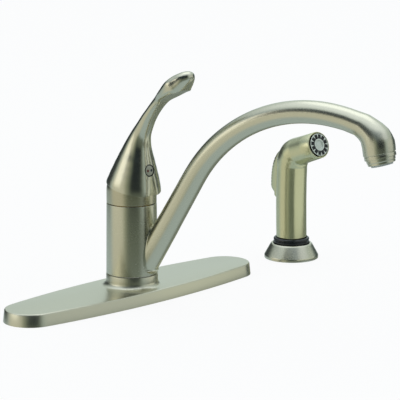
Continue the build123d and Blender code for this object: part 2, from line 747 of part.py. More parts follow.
# ---- sprayer's holder ------------------------------------------------------------------
SHANK_R = 15.0
SHANK_TIP_R = 14.6          # its free end, below the nut
SHANK_TIP_TOP = -34.6
SHANK_BELOW = 42.0
BUSHING_R = 16.6
BUSHING_TOP = 19.4
BUSHING_BORE = 13.6
HOLDER_NUT_R = 22.0
spray_axis = Axis((SPRAY_X, 0, 0), (0, 0, 1))
spray_section = Plane.XZ.move(Location((SPRAY_X, 0, 0)))


def turned(points):
    """A closed profile of (radius, height) points beside the sprayer's axis."""
    with BuildSketch(spray_section) as profile:
        with BuildLine():
            Polyline(points, close=True)
        make_face()
    return profile.sketch


with BuildPart() as spray_holder:
    add(
        turned(
            [
                (SHANK_TIP_R - 1.0, -SHANK_BELOW),
                (SHANK_TIP_R, -SHANK_BELOW + 1.0),
                (SHANK_TIP_R, SHANK_TIP_TOP),
                (SHANK_R, SHANK_TIP_TOP),
                (SHANK_R, 0),
                (FLANGE_R - 1.0, 0),
                (FLANGE_R, 1.0),
                (FLANGE_R, 2.6),
                (19.2, FLANGE_TOP - 1.6),
                (18.4, FLANGE_TOP - 0.4),
                (17.6, FLANGE_TOP),
                (17.0, FLANGE_TOP),
                (17.0, FLANGE_TOP - 3.0),
                (14.1, FLANGE_TOP - 3.0),
                (14.1, 3.0),
                (12.6, 0.0),
                (12.6, -SHANK_BELOW),
            ]
        )
    )
    revolve(axis=spray_axis)
save(spray_holder.part, "spray_holder")

with BuildPart() as spray_bushing:
    add(
        turned(
            [
                (BUSHING_BORE, 3.6),
                (14.0, 3.6),
                (14.0, FLANGE_TOP - 2.95),
                (BUSHING_R - 0.2, FLANGE_TOP - 2.95),
                (BUSHING_R - 0.2, FLANGE_TOP + 0.4),
                (BUSHING_R, FLANGE_TOP + 1.0),
                (BUSHING_R, FLANGE_TOP + 1.9),
                (BUSHING_R - 0.9, FLANGE_TOP + 2.5),
                (BUSHING_R - 0.9, FLANGE_TOP + 2.9),
                (BUSHING_R, FLANGE_TOP + 3.5),
                (BUSHING_R - 0.3, BUSHING_TOP - 0.7),
                (BUSHING_R - 1.2, BUSHING_TOP),
                (14.7, BUSHING_TOP),
                (14.3, BUSHING_TOP - 2.0),
                (BUSHING_BORE, BUSHING_TOP - 3.4),
            ]
        )
    )
    revolve(axis=spray_axis)
save(spray_bushing.part, "spray_bushing")

with BuildPart() as spray_holder_washer:
    with BuildSketch(Plane.XY.offset(-DECK_T)):
        with Locations((SPRAY_X, 0)):
            Circle(23.0)
            Circle(SHANK_R + 0.3, mode=Mode.SUBTRACT)
    extrude(amount=-WASHER_T)
save(spray_holder_washer.part, "spray_holder_washer")

with BuildPart() as spray_holder_nut:
    with BuildSketch(Plane.XY.offset(-DECK_T - WASHER_T - 0.02)):
        with Locations((SPRAY_X, 0)):
            RegularPolygon(HOLDER_NUT_R, 8)
    extrude(amount=-8)
    chamfer(spray_holder_nut.faces().group_by(Axis.Z)[0].edges(), 1.0)
    with BuildSketch(Plane.XY.offset(-DECK_T)):
        with Locations((SPRAY_X, 0)):
            Circle(SHANK_R + 0.05)
    extrude(amount=-20, mode=Mode.SUBTRACT)
save(spray_holder_nut.part, "spray_holder_nut")

# ---- sprayer ---------------------------------------------------------------------------
# Its side plane: local x runs forward through the nozzle's axis, local y up.
SPRAY_BODY_FOOT = 19.8
ELBOW_CENTRE = (16.0, 85.6)     # the elbow's sections fan out from here
BODY_BORE_R = 7.6
WATERWAY_TOP = 102.0
NOZZLE_R = 10.4
NOZZLE_T = 3.0
NOZZLE_BOSS_R = 4.6
FACE_RING_T = 1.6
SPRAY_SOCKETS = 12
SOCKET_RING_R = 8.0
SOCKET_SIDE = 2.5

TRIGGER_PIN = (-8.6, 93.0)
PIN_SIDE_R = 1.2
TRIGGER_HALF_W = 7.6
TRIGGER_FOOT_Z = 56.0
TRIGGER_FACE = -14.0            # its flat inner face
POCKET_FLOOR = -9.4
VALVE_Z = 72.0
PLUNGER_R = 1.5
PLUNGER_TIP = -13.7
PLUNGER_HEAD_R = 3.4
PLUNGER_HEAD_T = 1.6
CHAMBER_R = 4.0
CHAMBER_END = 6.6
CAGE_LOW = 63.0
CAGE_HIGH = 83.0
SPRING_R = 2.8
SPRING_WIRE_R = 0.35

spray_side = upright_plane(SPRAY_X, -SPRAY_YAW)
tilt_cos = math.cos(math.radians(SPRAY_TILT))
tilt_sin = math.sin(math.radians(SPRAY_TILT))


def on_elbow(heading, reach, radius):
    """The section that fans out from the elbow's centre where the tube runs at heading."""
    away = math.radians(heading + 90)
    along = ELBOW_CENTRE[0] + reach * math.cos(away)
    height = ELBOW_CENTRE[1] + reach * math.sin(away)
    return along, height, heading, radius


def on_head(distance):
    return distance * tilt_cos, SPRAY_ELBOW_Z + distance * tilt_sin


def over_spray(height):
    """A level plane on the sprayer's upright axis."""
    return Plane(origin=(SPRAY_X, 0, height), x_dir=-spray_side.z_dir, z_dir=(0, 0, 1))


def side_block(points, half_width):
    """A block with an outline drawn in the sprayer's side plane, half_width to either side."""
    with BuildPart() as block:
        with BuildSketch(spray_side.offset(-half_width)):
            with BuildLine():
                Polyline(points, close=True)
            make_face()
        extrude(amount=2 * half_width)
    return block.part


def cross_rod(radius, half_length):
    """A rod along the trigger's pin."""
    with BuildPart() as rod:
        with BuildSketch(spray_side.offset(-half_length)):
            with Locations(TRIGGER_PIN):
                Circle(radius)
        extrude(amount=2 * half_length)
    return rod.part


elbow_foot = on_elbow(90, 16.0, 13.9)
elbow_end = on_elbow(SPRAY_TILT, 16.75, 12.9)
spray_stem = [
    (0, SPRAY_BODY_FOOT, 90, SPRAY_R),
    (-0.4, 36, 90, SPRAY_R),
    (-0.7, 53, 90, SPRAY_R),
    (-0.5, 70, 90, 13.9),
    elbow_foot,
]
spray_elbow = [elbow_foot, on_elbow(67, 16.3, 14.3), on_elbow(43, 16.6, 14.2), elbow_end]
spray_head = [elbow_end, (*on_head(SPRAY_HEAD_REACH - FACE_RING_T), SPRAY_TILT, SPRAY_HEAD_R)]
face_plane = station(spray_side, *on_head(SPRAY_HEAD_REACH), SPRAY_TILT)
trigger_pocket = [
    (-24, TRIGGER_FOOT_Z - 1.2),
    (POCKET_FLOOR, TRIGGER_FOOT_Z - 1.2),
    (POCKET_FLOOR, 84),
    (-4.6, 88),
    (-4.6, 97.5),
    (-9, 101),
    (-24, 108),
]

with BuildPart() as spray_body:
    add(round_tube(spray_side, spray_stem))
    add(round_tube(spray_side, spray_elbow))
    add(round_tube(spray_side, spray_head))
    add(side_block(trigger_pocket, TRIGGER_HALF_W + 0.35), mode=Mode.SUBTRACT)
    add(cross_rod(PIN_SIDE_R + 0.02, 20), mode=Mode.SUBTRACT)
    # hollow for the valve, and the waterway on to the nozzle
    with BuildSketch(Plane.XY.offset(SPRAY_BODY_FOOT)):
        with Locations((SPRAY_X, 0)):
            Circle(BODY_BORE_R)
    extrude(amount=CAGE_HIGH - SPRAY_BODY_FOOT, mode=Mode.SUBTRACT)
    with BuildSketch(over_spray(CAGE_HIGH)):
        with Locations((0, -3.4)):
            Circle(3.4)
    extrude(amount=WATERWAY_TOP - CAGE_HIGH, mode=Mode.SUBTRACT)
    with BuildSketch(face_plane):
        Circle(3.4)
    extrude(amount=-36, mode=Mode.SUBTRACT)
    with BuildSketch(face_plane):
        Circle(NOZZLE_R)
    extrude(amount=-FACE_RING_T - NOZZLE_T - 2, mode=Mode.SUBTRACT)
    # the plunger's way in from the trigger
    with BuildSketch(station(spray_side, POCKET_FLOOR - 2, VALVE_Z, 0)):
        Circle(PLUNGER_R + 0.06)
    extrude(amount=8, mode=Mode.SUBTRACT)
save(spray_body.part, "spray_body")

with BuildPart() as spray_face_ring:
    with BuildSketch(face_plane):
        Circle(SPRAY_HEAD_R)
    extrude(amount=-FACE_RING_T + 0.02)
    fillet(spray_face_ring.edges().sort_by(Axis.Y)[0], 0.5)
    with BuildSketch(face_plane):
        Circle(NOZZLE_R - 0.6)
    extrude(amount=-FACE_RING_T, mode=Mode.SUBTRACT)
save(spray_face_ring.part, "spray_face_ring")

with BuildPart() as spray_nozzle:
    with BuildSketch(face_plane.offset(-FACE_RING_T)):
        Circle(NOZZLE_R - 0.05)
    extrude(amount=-NOZZLE_T)
    with BuildSketch(face_plane.offset(-FACE_RING_T)):
        with PolarLocations(SOCKET_RING_R, SPRAY_SOCKETS):
            Rectangle(SOCKET_SIDE, SOCKET_SIDE)
    extrude(amount=-NOZZLE_T - 1, mode=Mode.SUBTRACT)
    with BuildSketch(face_plane.offset(-FACE_RING_T)):
        Circle(NOZZLE_BOSS_R)
    extrude(amount=1.0)
save(spray_nozzle.part, "spray_nozzle")

with BuildPart() as spray_trigger:
    with BuildSketch(spray_side.offset(-TRIGGER_HALF_W)):
        with BuildLine():
            back = Spline((-13.6, 97.0), (-17.8, 88.0), (-20.4, 78.0), (-21.3, 68.0), (-21.0, 62.6))
            Polyline(
                back @ 1,
                (-18.2, 61.4),
                (-18.0, TRIGGER_FOOT_Z + 0.8),
                (-17.0, TRIGGER_FOOT_Z),
                (TRIGGER_FACE, TRIGGER_FOOT_Z),
                (TRIGGER_FACE, 84.0),
                (-6.6, 90.0),
                (-5.6, 93.0),
                (-6.6, 96.0),
                (-8.8, 97.4),
                (-11.8, 99.5),
                back @ 0,
            )
        make_face()
    extrude(amount=2 * TRIGGER_HALF_W)
    add(cross_rod(PIN_SIDE_R + 0.06, 20), mode=Mode.SUBTRACT)
save(spray_trigger.part, "spray_trigger")

spray_trigger_pin = cross_rod(PIN_SIDE_R, 10.2)
save(spray_trigger_pin, "spray_trigger_pin")

with BuildPart() as spray_valve_cage:
    with BuildSketch(Plane.XY.offset(CAGE_LOW)):
        with Locations((SPRAY_X, 0)):
            Circle(BODY_BORE_R - 0.05)
    extrude(amount=CAGE_HIGH - CAGE_LOW - 0.05)
    with BuildSketch(station(spray_side, 0, VALVE_Z, 0)):
        Circle(CHAMBER_R)
    extrude(amount=CHAMBER_END, mode=Mode.SUBTRACT)
    with BuildSketch(station(spray_side, -10, VALVE_Z, 0)):
        Circle(PLUNGER_R + 0.06)
    extrude(amount=12, mode=Mode.SUBTRACT)
    # water comes in from below in front of the plunger's head and leaves upwards behind it
    with BuildSketch(over_spray(CAGE_LOW)):
        with Locations((0, -5.0)):
            Circle(1.4)
    extrude(amount=VALVE_Z - CAGE_LOW, mode=Mode.SUBTRACT)
    with BuildSketch(over_spray(VALVE_Z)):
        with Locations((0, -1.6)):
            Circle(1.4)
    extrude(amount=CAGE_HIGH - VALVE_Z, mode=Mode.SUBTRACT)
save(spray_valve_cage.part, "spray_valve_cage")

with BuildPart() as spray_plunger:
    with BuildSketch(station(spray_side, PLUNGER_TIP, VALVE_Z, 0)):
        Circle(PLUNGER_R)
    extrude(amount=0.5 - PLUNGER_TIP)
    with BuildSketch(station(spray_side, 0.4, VALVE_Z, 0)):
        Circle(PLUNGER_HEAD_R)
    extrude(amount=PLUNGER_HEAD_T)
save(spray_plunger.part, "spray_plunger")

spring_low = 0.4 + PLUNGER_HEAD_T + SPRING_WIRE_R + 0.05
spring_high = CHAMBER_END - SPRING_WIRE_R - 0.05
spring_seat = station(spray_side, spring_low, VALVE_Z, 0)

with BuildPart() as spray_plunger_spring:
    with BuildLine() as coil:
        Helix(1.1, spring_high - spring_low, SPRING_R, center=spring_seat.origin, direction=spring_seat.z_dir)
    with BuildSketch(Plane(origin=coil.line @ 0, z_dir=coil.line % 0)):
        Circle(SPRING_WIRE_R)
    sweep(path=coil.line, is_frenet=True)
save(spray_plunger_spring.part, "spray_plunger_spring")

with BuildPart() as hose_connector:
    add(
        turned(
            [
                (3.0, 6.0),
                (5.4, 6.0),
                (6.4, 7.0),
                (6.4, 14.0),
                (11.6, 14.0),
                (12.4, 15.0),
                (13.0, SPRAY_BODY_FOOT - 0.05),
                (BODY_BORE_R - 0.05, SPRAY_BODY_FOOT - 0.05),
                (BODY_BORE_R - 0.05, 34.0),
                (3.0, 34.0),
            ]
        )
    )
    revolve(axis=spray_axis)
save(hose_connector.part, "hose_connector")
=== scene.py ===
import bmesh
import bpy
import math
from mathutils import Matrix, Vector


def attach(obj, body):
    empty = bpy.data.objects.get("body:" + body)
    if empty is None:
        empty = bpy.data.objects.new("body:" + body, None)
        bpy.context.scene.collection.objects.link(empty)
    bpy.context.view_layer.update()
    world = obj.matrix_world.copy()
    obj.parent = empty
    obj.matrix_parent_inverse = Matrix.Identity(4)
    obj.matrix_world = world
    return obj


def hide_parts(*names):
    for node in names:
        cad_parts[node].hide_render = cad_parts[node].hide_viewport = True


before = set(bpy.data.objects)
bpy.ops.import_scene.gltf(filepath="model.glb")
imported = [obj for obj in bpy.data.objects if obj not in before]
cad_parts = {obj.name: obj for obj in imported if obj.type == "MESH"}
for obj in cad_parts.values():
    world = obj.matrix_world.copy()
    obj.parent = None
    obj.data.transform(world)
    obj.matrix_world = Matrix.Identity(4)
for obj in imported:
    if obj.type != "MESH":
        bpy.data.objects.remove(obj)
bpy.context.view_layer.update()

# A single-handle kitchen faucet in satin nickel on its deck plate, with the side sprayer in its
# holder. Lengths are in millimetres until a piece is built. The user stands at -Y, and the
# sprayer is at +X.
MM = 0.001

# ---- sizes -----------------------------------------------------------------------------------
# As in the part's source, but for the button, which is fitted to the photographed face.
PLATE_LENGTH = 275.0
PLATE_WIDTH = 64.8
PLATE_END_RADIUS = 23.5
PLATE_HEIGHT = 10.6
PLATE_DRAFT = 6.0
PLATE_WALL = 2.4
COLLAR_R = 22.3
COLLAR_BLEND = 4.5
COLLAR_TOP = 20.8
COLLAR_BORE = 18.7

SLEEVE_BOTTOM = 21.5
SLEEVE_TOP = 82.3
SLEEVE_R_BOTTOM = 22.1
SLEEVE_R_TOP = 21.45
SLEEVE_BORE = 18.48
SPOUT_SWING = 15.0
SPOUT_RISE = 59.4
SPOUT_FOOT_LEVEL = 25.5
RISE_START = (17.3, 35.1)
RISE_LENGTH = 88.5
CROWN_R = 128.8
OUTLET_END = (231.4, 146.2)
OUTLET_HEADING = -75.0
BEAD_H = 3.6

PIVOT_Z = 88.0
CAP_TOP = 104.0
HOLLOW_R = 23.5
RIM_HEIGHT = 97.6
RIM_SLOPE = 14.0
BUTTON_FORWARD = 18.9
BUTTON_Z = 112.5
BUTTON_R = 4.25
BUTTON_HOLE_R = 5.3
BUTTON_HOLE_DEPTH = 6.0
BUTTON_LEAN = 6.5

SPRAY_X = 203.2
SPRAY_YAW = -6.0
SPRAY_FOOT = 19.8
ELBOW_CENTRE = (16.0, 85.6)
HEAD_AXIS_Z = 97.6
HEAD_TILT = 20.0
HEAD_REACH = 39.4
FLANGE_TOP = 14.0


# ---- shaping tools ---------------------------------------------------------------------------
def sine(degrees):
    return math.sin(math.radians(degrees))


def cosine(degrees):
    return math.cos(math.radians(degrees))


def only(piece):
    bpy.ops.object.select_all(action="DESELECT")
    piece.select_set(True)
    bpy.context.view_layer.objects.active = piece


def start_ring(name, sides):
    """A new piece that is a ring of points about Z, one metre in radius, selected in edit mode."""
    bpy.ops.object.select_all(action="DESELECT")
    bpy.ops.mesh.primitive_circle_add(vertices=sides, radius=1)
    piece = bpy.context.object
    piece.name = piece.data.name = name
    bpy.ops.object.mode_set(mode="EDIT")
    bpy.ops.mesh.select_all(action="SELECT")
    return piece


def draw_out(move=(0, 0, 0)):
    """Extrudes the selected ring, which leaves the new ring selected."""
    bpy.ops.mesh.extrude_region_move(TRANSFORM_OT_translate={"value": Vector(move) * MM})


def lay_ring(piece, points):
    """Puts the selected ring on points of its own, in order from +Y towards -X."""
    mesh = bmesh.from_edit_mesh(piece.data)
    chosen = [vertex for vertex in mesh.verts if vertex.select]
    for vertex, point in zip(chosen, points, strict=True):
        vertex.co = Vector(point) * MM
    bmesh.update_edit_mesh(piece.data)


def loft(name, rings):
    """A new piece drawn out from ring to ring, left in edit mode with its last ring selected."""
    piece = start_ring(name, len(rings[0]))
    lay_ring(piece, rings[0])
    for ring in rings[1:]:
        draw_out()
        lay_ring(piece, ring)
    return piece


def close_up(piece, holes=False):
    """Merges what meets, fills open ends if asked, points faces outwards and leaves edit mode."""
    bpy.ops.mesh.select_all(action="SELECT")
    bpy.ops.mesh.remove_doubles(threshold=0.001 * MM)
    if holes:
        bpy.ops.mesh.fill_holes(sides=0)
    bpy.ops.mesh.select_all(action="SELECT")
    bpy.ops.mesh.normals_make_consistent(inside=False)
    bpy.ops.object.mode_set(mode="OBJECT")


def turned(name, profile, sides=96, solid=False):
    """A piece turned about Z from the (radius, height) corners of its profile."""
    piece = start_ring(name, sides)
    radius, height = profile[0]
    bpy.ops.transform.resize(value=(radius * MM,) * 3, center_override=(0, 0, 0))
    bpy.ops.transform.translate(value=(0, 0, height * MM))
    for next_radius, next_height in profile[1:] + ([] if solid else profile[:1]):
        draw_out((0, 0, next_height - height))
        growth = next_radius / radius
        bpy.ops.transform.resize(value=(growth, growth, 1), center_override=(0, 0, 0))
        radius, height = next_radius, next_height
    close_up(piece, holes=solid)
    return piece


def eased(corners, steps=4):
    """A profile from (radius, height, ease) corners, each rounded off over its ease."""
    profile = []
    for k, (radius, height, ease) in enumerate(corners):
        corner = Vector((radius, height))
        if not ease:
            profile.append((radius, height))
            continue
        before = Vector(corners[k - 1][:2]) - corner
        after = Vector(corners[(k + 1) % len(corners)][:2]) - corner
        start = corner + before.normalized() * ease
        end = corner + after.normalized() * ease
        for step in range(steps + 1):
            t = step / steps
            profile.append(tuple(start * (1 - t) ** 2 + corner * 2 * t * (1 - t) + end * t**2))
    return profile


def ring_at(station, sides):
    """The points of a tube's ring at its station: forward, height, heading and radius."""
    forward, height, heading, radius = station
    points = []
    for k in range(sides):
        side = -radius * math.sin(math.tau * k / sides)
        over = radius * math.cos(math.tau * k / sides)
        points.append(Vector((side, -forward + over * sine(heading),
                              height + over * cosine(heading))))
    return points


def sweep(stations):
    """Draws the selected ring, which is at the first station, on through the others."""
    forward, height, heading, radius = stations[0]
    for next_forward, next_height, next_heading, next_radius in stations[1:]:
        draw_out((0, forward - next_forward, next_height - height))
        centre = Vector((0, -next_forward, next_height)) * MM
        turn = math.radians(next_heading - heading)
        if turn:
            bpy.ops.transform.rotate(value=turn, orient_axis="X", center_override=centre)
        bpy.ops.transform.resize(value=(next_radius / radius,) * 3, center_override=centre)
        forward, height, heading, radius = next_forward, next_height, next_heading, next_radius


def smooth_run(stations, spacing):
    """Closer stations on the smooth line through the given (forward, height, heading, ...) ones."""
    lengths = [math.dist(a[:2], b[:2]) for a, b in zip(stations, stations[1:])]
    run = [stations[0]]
    for k, length in enumerate(lengths):
        first, last = stations[k], stations[k + 1]
        before = stations[max(k - 1, 0)]
        beyond = stations[min(k + 2, len(stations) - 1)]
        span_before = length + (lengths[k - 1] if k else 0)
        span_beyond = length + (lengths[k + 1] if k + 1 < len(lengths) else 0)
        count = max(1, round(length / spacing))
        for step in range(1, count + 1):
            t = step / count
            h00, h10 = 2 * t**3 - 3 * t**2 + 1, t**3 - 2 * t**2 + t
            h01, h11 = 3 * t**2 - 2 * t**3, t**3 - t**2
            values = []
            for axis in range(len(first)):
                if axis < 2:
                    way = (cosine, sine)[axis]
                    slope_a, slope_b = length * way(first[2]), length * way(last[2])
                else:
                    slope_a = length * (last[axis] - before[axis]) / span_before
                    slope_b = length * (beyond[axis] - first[axis]) / span_beyond
                values.append(h00 * first[axis] + h10 * slope_a + h01 * last[axis] + h11 * slope_b)
            run.append(tuple(values))
    return run


def set_in_place(piece, forward=0.0, height=0.0, swing=0.0, tilt=0.0, origin_x=0.0):
    """Tilts a piece about X, moves it forward and up, and swings it about Z at origin_x."""
    piece.rotation_euler = (math.radians(tilt), 0, math.radians(swing))
    piece.location = Vector((origin_x + forward * sine(swing), -forward * cosine(swing),
                             height)) * MM
    only(piece)
    bpy.ops.object.transform_apply(location=True, rotation=True, scale=True)


def cut_away(piece, cutter):
    """Takes the cutter's shape out of a piece."""
    only(piece)
    bpy.ops.object.modifier_add(type="BOOLEAN")
    cut = piece.modifiers[-1]
    cut.operation = "DIFFERENCE"
    cut.object = cutter
    bpy.ops.object.modifier_apply(modifier=cut.name)
    bpy.data.objects.remove(cutter)


def join(piece, *others):
    only(piece)
    for other in others:
        other.select_set(True)
    bpy.ops.object.join()


def paint(piece, material):
    piece.data.materials.append(material)


def finish_piece(piece, material, body, slot, *nodes, sharp=32):
    """Shades a piece, gives it its material unless it has its own, and sets it on its body.

    The nodes are the CAD nodes that it replaces."""
    only(piece)
    bpy.ops.object.shade_smooth_by_angle(angle=math.radians(sharp))
    if material:
        piece.data.materials.clear()
        piece.data.materials.append(material)
    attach(piece, body)
    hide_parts(*nodes)


# ---- finishes --------------------------------------------------------------------------------
STREAK_DETAIL = 3
CLOUD_DETAIL = 2
CLOUD_SHARE = 0.35
CLOUD_SCALE = 35.0
BUMP_STRENGTH = 0.5


def add_node(tree, kind, operation=None, **values):
    """A shader node, with its operation and the plain values of its inputs."""
    node = tree.nodes.new("ShaderNode" + kind)
    if operation:
        node.operation = operation
    for socket, value in values.items():
        node.inputs[socket].default_value = value
    return node


def add_colour_mix(tree):
    mix = tree.nodes.new("ShaderNodeMix")
    mix.data_type = "RGBA"
    return mix


def wire(tree, *wires):
    """Links nodes: each wire is a node, its output, the next node and its input."""
    for source, output, target, entry in wires:
        tree.links.new(source.outputs[output], target.inputs[entry])


def start_group(name, vectors, colours, values, results):
    """A shared node group with named inputs and (name, kind) outputs, and its two end nodes."""
    group = bpy.data.node_groups.new(name, "ShaderNodeTree")
    for kind, sockets in (("Vector", vectors), ("Color", colours), ("Float", values)):
        for socket in sockets:
            group.interface.new_socket(socket, in_out="INPUT", socket_type="NodeSocket" + kind)
    for socket, kind in results:
        group.interface.new_socket(socket, in_out="OUTPUT", socket_type="NodeSocket" + kind)
    return group, group.nodes.new("NodeGroupInput"), group.nodes.new("NodeGroupOutput")


def build_grain_group():
    """Satin grain: fine streaks and slow clouds that shift the colour, roughness and height."""
    group, given, out = start_group(
        "satin_grain", vectors=("Vector",), colours=("Colour", "Dark colour"),
        values=("Streak scale", "Cloud scale", "Roughness", "Roughness spread"),
        results=(("Colour", "Color"), ("Roughness", "Float"), ("Height", "Float")))
    streaks = add_node(group, "TexNoise", Detail=STREAK_DETAIL)
    clouds = add_node(group, "TexNoise", Detail=CLOUD_DETAIL)
    both = add_node(group, "Mix", Factor=CLOUD_SHARE)
    tone = add_colour_mix(group)
    spread = add_node(group, "Math", "SUBTRACT")
    spread.inputs[1].default_value = 0.5
    rough = add_node(group, "Math", "MULTIPLY_ADD")
    wire(group,
         (given, "Vector", streaks, "Vector"), (given, "Vector", clouds, "Vector"),
         (given, "Streak scale", streaks, "Scale"), (given, "Cloud scale", clouds, "Scale"),
         (streaks, "Fac", both, "A"), (clouds, "Fac", both, "B"),
         (both, "Result", tone, "Factor"), (given, "Dark colour", tone, "A"),
         (given, "Colour", tone, "B"), (both, "Result", spread, 0),
         (spread, "Value", rough, 0), (given, "Roughness spread", rough, 1),
         (given, "Roughness", rough, 2), (tone, "Result", out, "Colour"),
         (rough, "Value", out, "Roughness"), (streaks, "Fac", out, "Height"))
    return group


satin_grain = build_grain_group()


def finish_material(name, colour, dark, roughness, spread=0.08, metal=0.0, stretch=(1, 1, 1),
                    streak_scale=900.0, depth=0.00002):
    """A finish with the shared grain: stretch makes its streaks run along one direction."""
    material = bpy.data.materials.new(name)
    material.use_nodes = True
    tree = material.node_tree
    shader = tree.nodes["Principled BSDF"]
    shader.inputs["Metallic"].default_value = metal
    place = add_node(tree, "TexCoord")
    mapping = add_node(tree, "Mapping", Scale=stretch)
    grain = add_node(tree, "Group")
    grain.node_tree = satin_grain
    for socket, value in (("Colour", (*colour, 1)), ("Dark colour", (*dark, 1)),
                          ("Streak scale", streak_scale), ("Cloud scale", CLOUD_SCALE),
                          ("Roughness", roughness), ("Roughness spread", spread)):
        grain.inputs[socket].default_value = value
    bump = add_node(tree, "Bump", Distance=depth, Strength=BUMP_STRENGTH)
    wire(tree, (place, "Object", mapping, "Vector"), (mapping, "Vector", grain, "Vector"),
         (grain, "Colour", shader, "Base Color"), (grain, "Roughness", shader, "Roughness"),
         (grain, "Height", bump, "Height"), (bump, "Normal", shader, "Normal"))
    return material


def satin_metal(name, colour, dark, roughness, stretch, metal=1.0):
    """A brushed plating, whose streaks are fine and nearly flat."""
    return finish_material(name, colour, dark, roughness, spread=0.03, metal=metal,
                           stretch=stretch, streak_scale=2500, depth=0.000001)


NICKEL = (0.63, 0.615, 0.485)
NICKEL_DARK = (0.575, 0.56, 0.435)
# the streaks run round a turned piece, up and down a sculpted one, or along the plate
ROUND = (0.12, 0.12, 1)
UPRIGHT = (1, 1, 0.12)
LENGTHWISE = (0.08, 1, 1)

turned_nickel = satin_metal("turned_nickel", NICKEL, NICKEL_DARK, 0.27, ROUND)
sculpted_nickel = satin_metal("sculpted_nickel", NICKEL, NICKEL_DARK, 0.23, UPRIGHT)
# the cap's nickel is a darker, warmer copy of the nickel: painted shade from the handle's skirt,
# which overhangs the cap
shaded_cap_nickel = satin_metal("shaded_cap_nickel", (0.55, 0.52, 0.38), (0.5, 0.47, 0.34), 0.27, ROUND)
plate_nickel = satin_metal("plate_nickel", NICKEL, NICKEL_DARK, 0.3, LENGTHWISE)
plated_plastic = satin_metal("plated_plastic", (0.645, 0.64, 0.42), (0.6, 0.595, 0.38), 0.25,
                             UPRIGHT, metal=0.92)
brass = finish_material("brass", (0.66, 0.48, 0.22), (0.5, 0.34, 0.14), 0.3, metal=1.0)
zinc_steel = finish_material("zinc_steel", (0.6, 0.61, 0.62), (0.45, 0.46, 0.48), 0.34, metal=1.0)
black_rubber = finish_material("black_rubber", (0.009, 0.01, 0.01), (0.006, 0.007, 0.007), 0.6)
black_plastic = finish_material("black_plastic", (0.012, 0.016, 0.018), (0.008, 0.01, 0.011),
                                0.16, spread=0.04)
grey_plastic = finish_material("grey_plastic", (0.5, 0.53, 0.5), (0.42, 0.45, 0.42), 0.4)
white_plastic = finish_material("white_plastic", (0.8, 0.8, 0.77), (0.7, 0.7, 0.66), 0.42)
satin_button = finish_material("satin_button", (0.40, 0.40, 0.32), (0.34, 0.34, 0.27), 0.4,
                               metal=0.5)
red_enamel = finish_material("red_enamel", (0.13, 0.006, 0.005), (0.09, 0.004, 0.004), 0.35)
blue_enamel = finish_material("blue_enamel", (0.004, 0.012, 0.03), (0.003, 0.008, 0.02), 0.35)
spray_face_plastic = finish_material("spray_face_plastic", (0.66, 0.70, 0.62),
                                     (0.58, 0.62, 0.54), 0.3, metal=0.4)
white_ceramic = finish_material("white_ceramic", (0.86, 0.86, 0.84), (0.8, 0.8, 0.78), 0.12,
                                spread=0.03)


# ---- deck plate ------------------------------------------------------------------------------
PLATE_POINTS = 240
PLATE_EASE = 1.1
EASE_STEPS = 6
BLEND_STEPS = 8
COLLAR_EASE = 0.35
GASKET_LEDGE = 1.0
edge_lean = math.tan(math.radians(PLATE_DRAFT))


def plate_ring(inset, height):
    """The plate's plan, from two shallow side arcs and two round ends, evenly divided."""
    half_l = PLATE_LENGTH / 2 - inset
    half_w = PLATE_WIDTH / 2 - inset
    end_r = PLATE_END_RADIUS - inset
    centre_x = half_l - end_r
    side_r = (centre_x**2 / (half_w - end_r) + end_r + half_w) / 2
    swing = math.asin(centre_x / (side_r - end_r))
    side_length = side_r * swing
    quarter = side_length + end_r * (math.pi / 2 - swing)
    points = []
    for k in range(PLATE_POINTS):
        lap, along = divmod(4 * quarter * k / PLATE_POINTS, quarter)
        if lap % 2:
            along = quarter - along
        if along <= side_length:
            angle = along / side_r
            x, y = side_r * math.sin(angle), half_w - side_r + side_r * math.cos(angle)
        else:
            angle = swing + (along - side_length) / end_r
            x, y = centre_x + end_r * math.sin(angle), end_r * math.cos(angle)
        points.append((-x if lap < 2 else x, y if lap in (0, 3) else -y, height))
    return points


def round_ring(radius, height):
    """A round ring with the plate's number of points."""
    step = math.tau / PLATE_POINTS
    return [(-radius * math.sin(k * step), radius * math.cos(k * step), height)
            for k in range(PLATE_POINTS)]


plate_rings = [plate_ring(0, 0),
               plate_ring(edge_lean * (PLATE_HEIGHT - PLATE_EASE), PLATE_HEIGHT - PLATE_EASE)]
for step in range(1, EASE_STEPS + 1):
    bend = 90 * step / EASE_STEPS
    plate_rings.append(plate_ring(edge_lean * PLATE_HEIGHT + PLATE_EASE * (1 - cosine(bend)),
                                  PLATE_HEIGHT - PLATE_EASE * (1 - sine(bend))))
for step in range(BLEND_STEPS + 1):
    bend = 90 * step / BLEND_STEPS
    plate_rings.append(round_ring(COLLAR_R + COLLAR_BLEND * (1 - sine(bend)),
                                  PLATE_HEIGHT + COLLAR_BLEND * (1 - cosine(bend))))
plate_rings += [
    round_ring(COLLAR_R, COLLAR_TOP - COLLAR_EASE),
    round_ring(COLLAR_R - 0.1, COLLAR_TOP - 0.1),
    round_ring(COLLAR_R - COLLAR_EASE, COLLAR_TOP),
    round_ring(COLLAR_BORE, COLLAR_TOP),
    round_ring(COLLAR_BORE, PLATE_HEIGHT - PLATE_WALL),
    plate_ring(PLATE_WALL + GASKET_LEDGE, PLATE_HEIGHT - PLATE_WALL),
    plate_ring(PLATE_WALL, 0),
]
deck_plate = loft("deck_plate_shell", plate_rings + plate_rings[:1])
close_up(deck_plate)
finish_piece(deck_plate, plate_nickel, "base", "brushed_nickel", "deck_plate")

# ---- spout -----------------------------------------------------------------------------------
BODY_SIDES = 160
TUBE_SIDES = 80
TUBE_SPACING = 4.0
WELD_PROUD = 0.25
SEARCH_LENGTH = 60.0
SEARCH_HALVINGS = 40
rise_cos, rise_sin = cosine(SPOUT_RISE), sine(SPOUT_RISE)


def on_rise(distance):
    return RISE_START[0] + distance * rise_cos, RISE_START[1] + distance * rise_sin


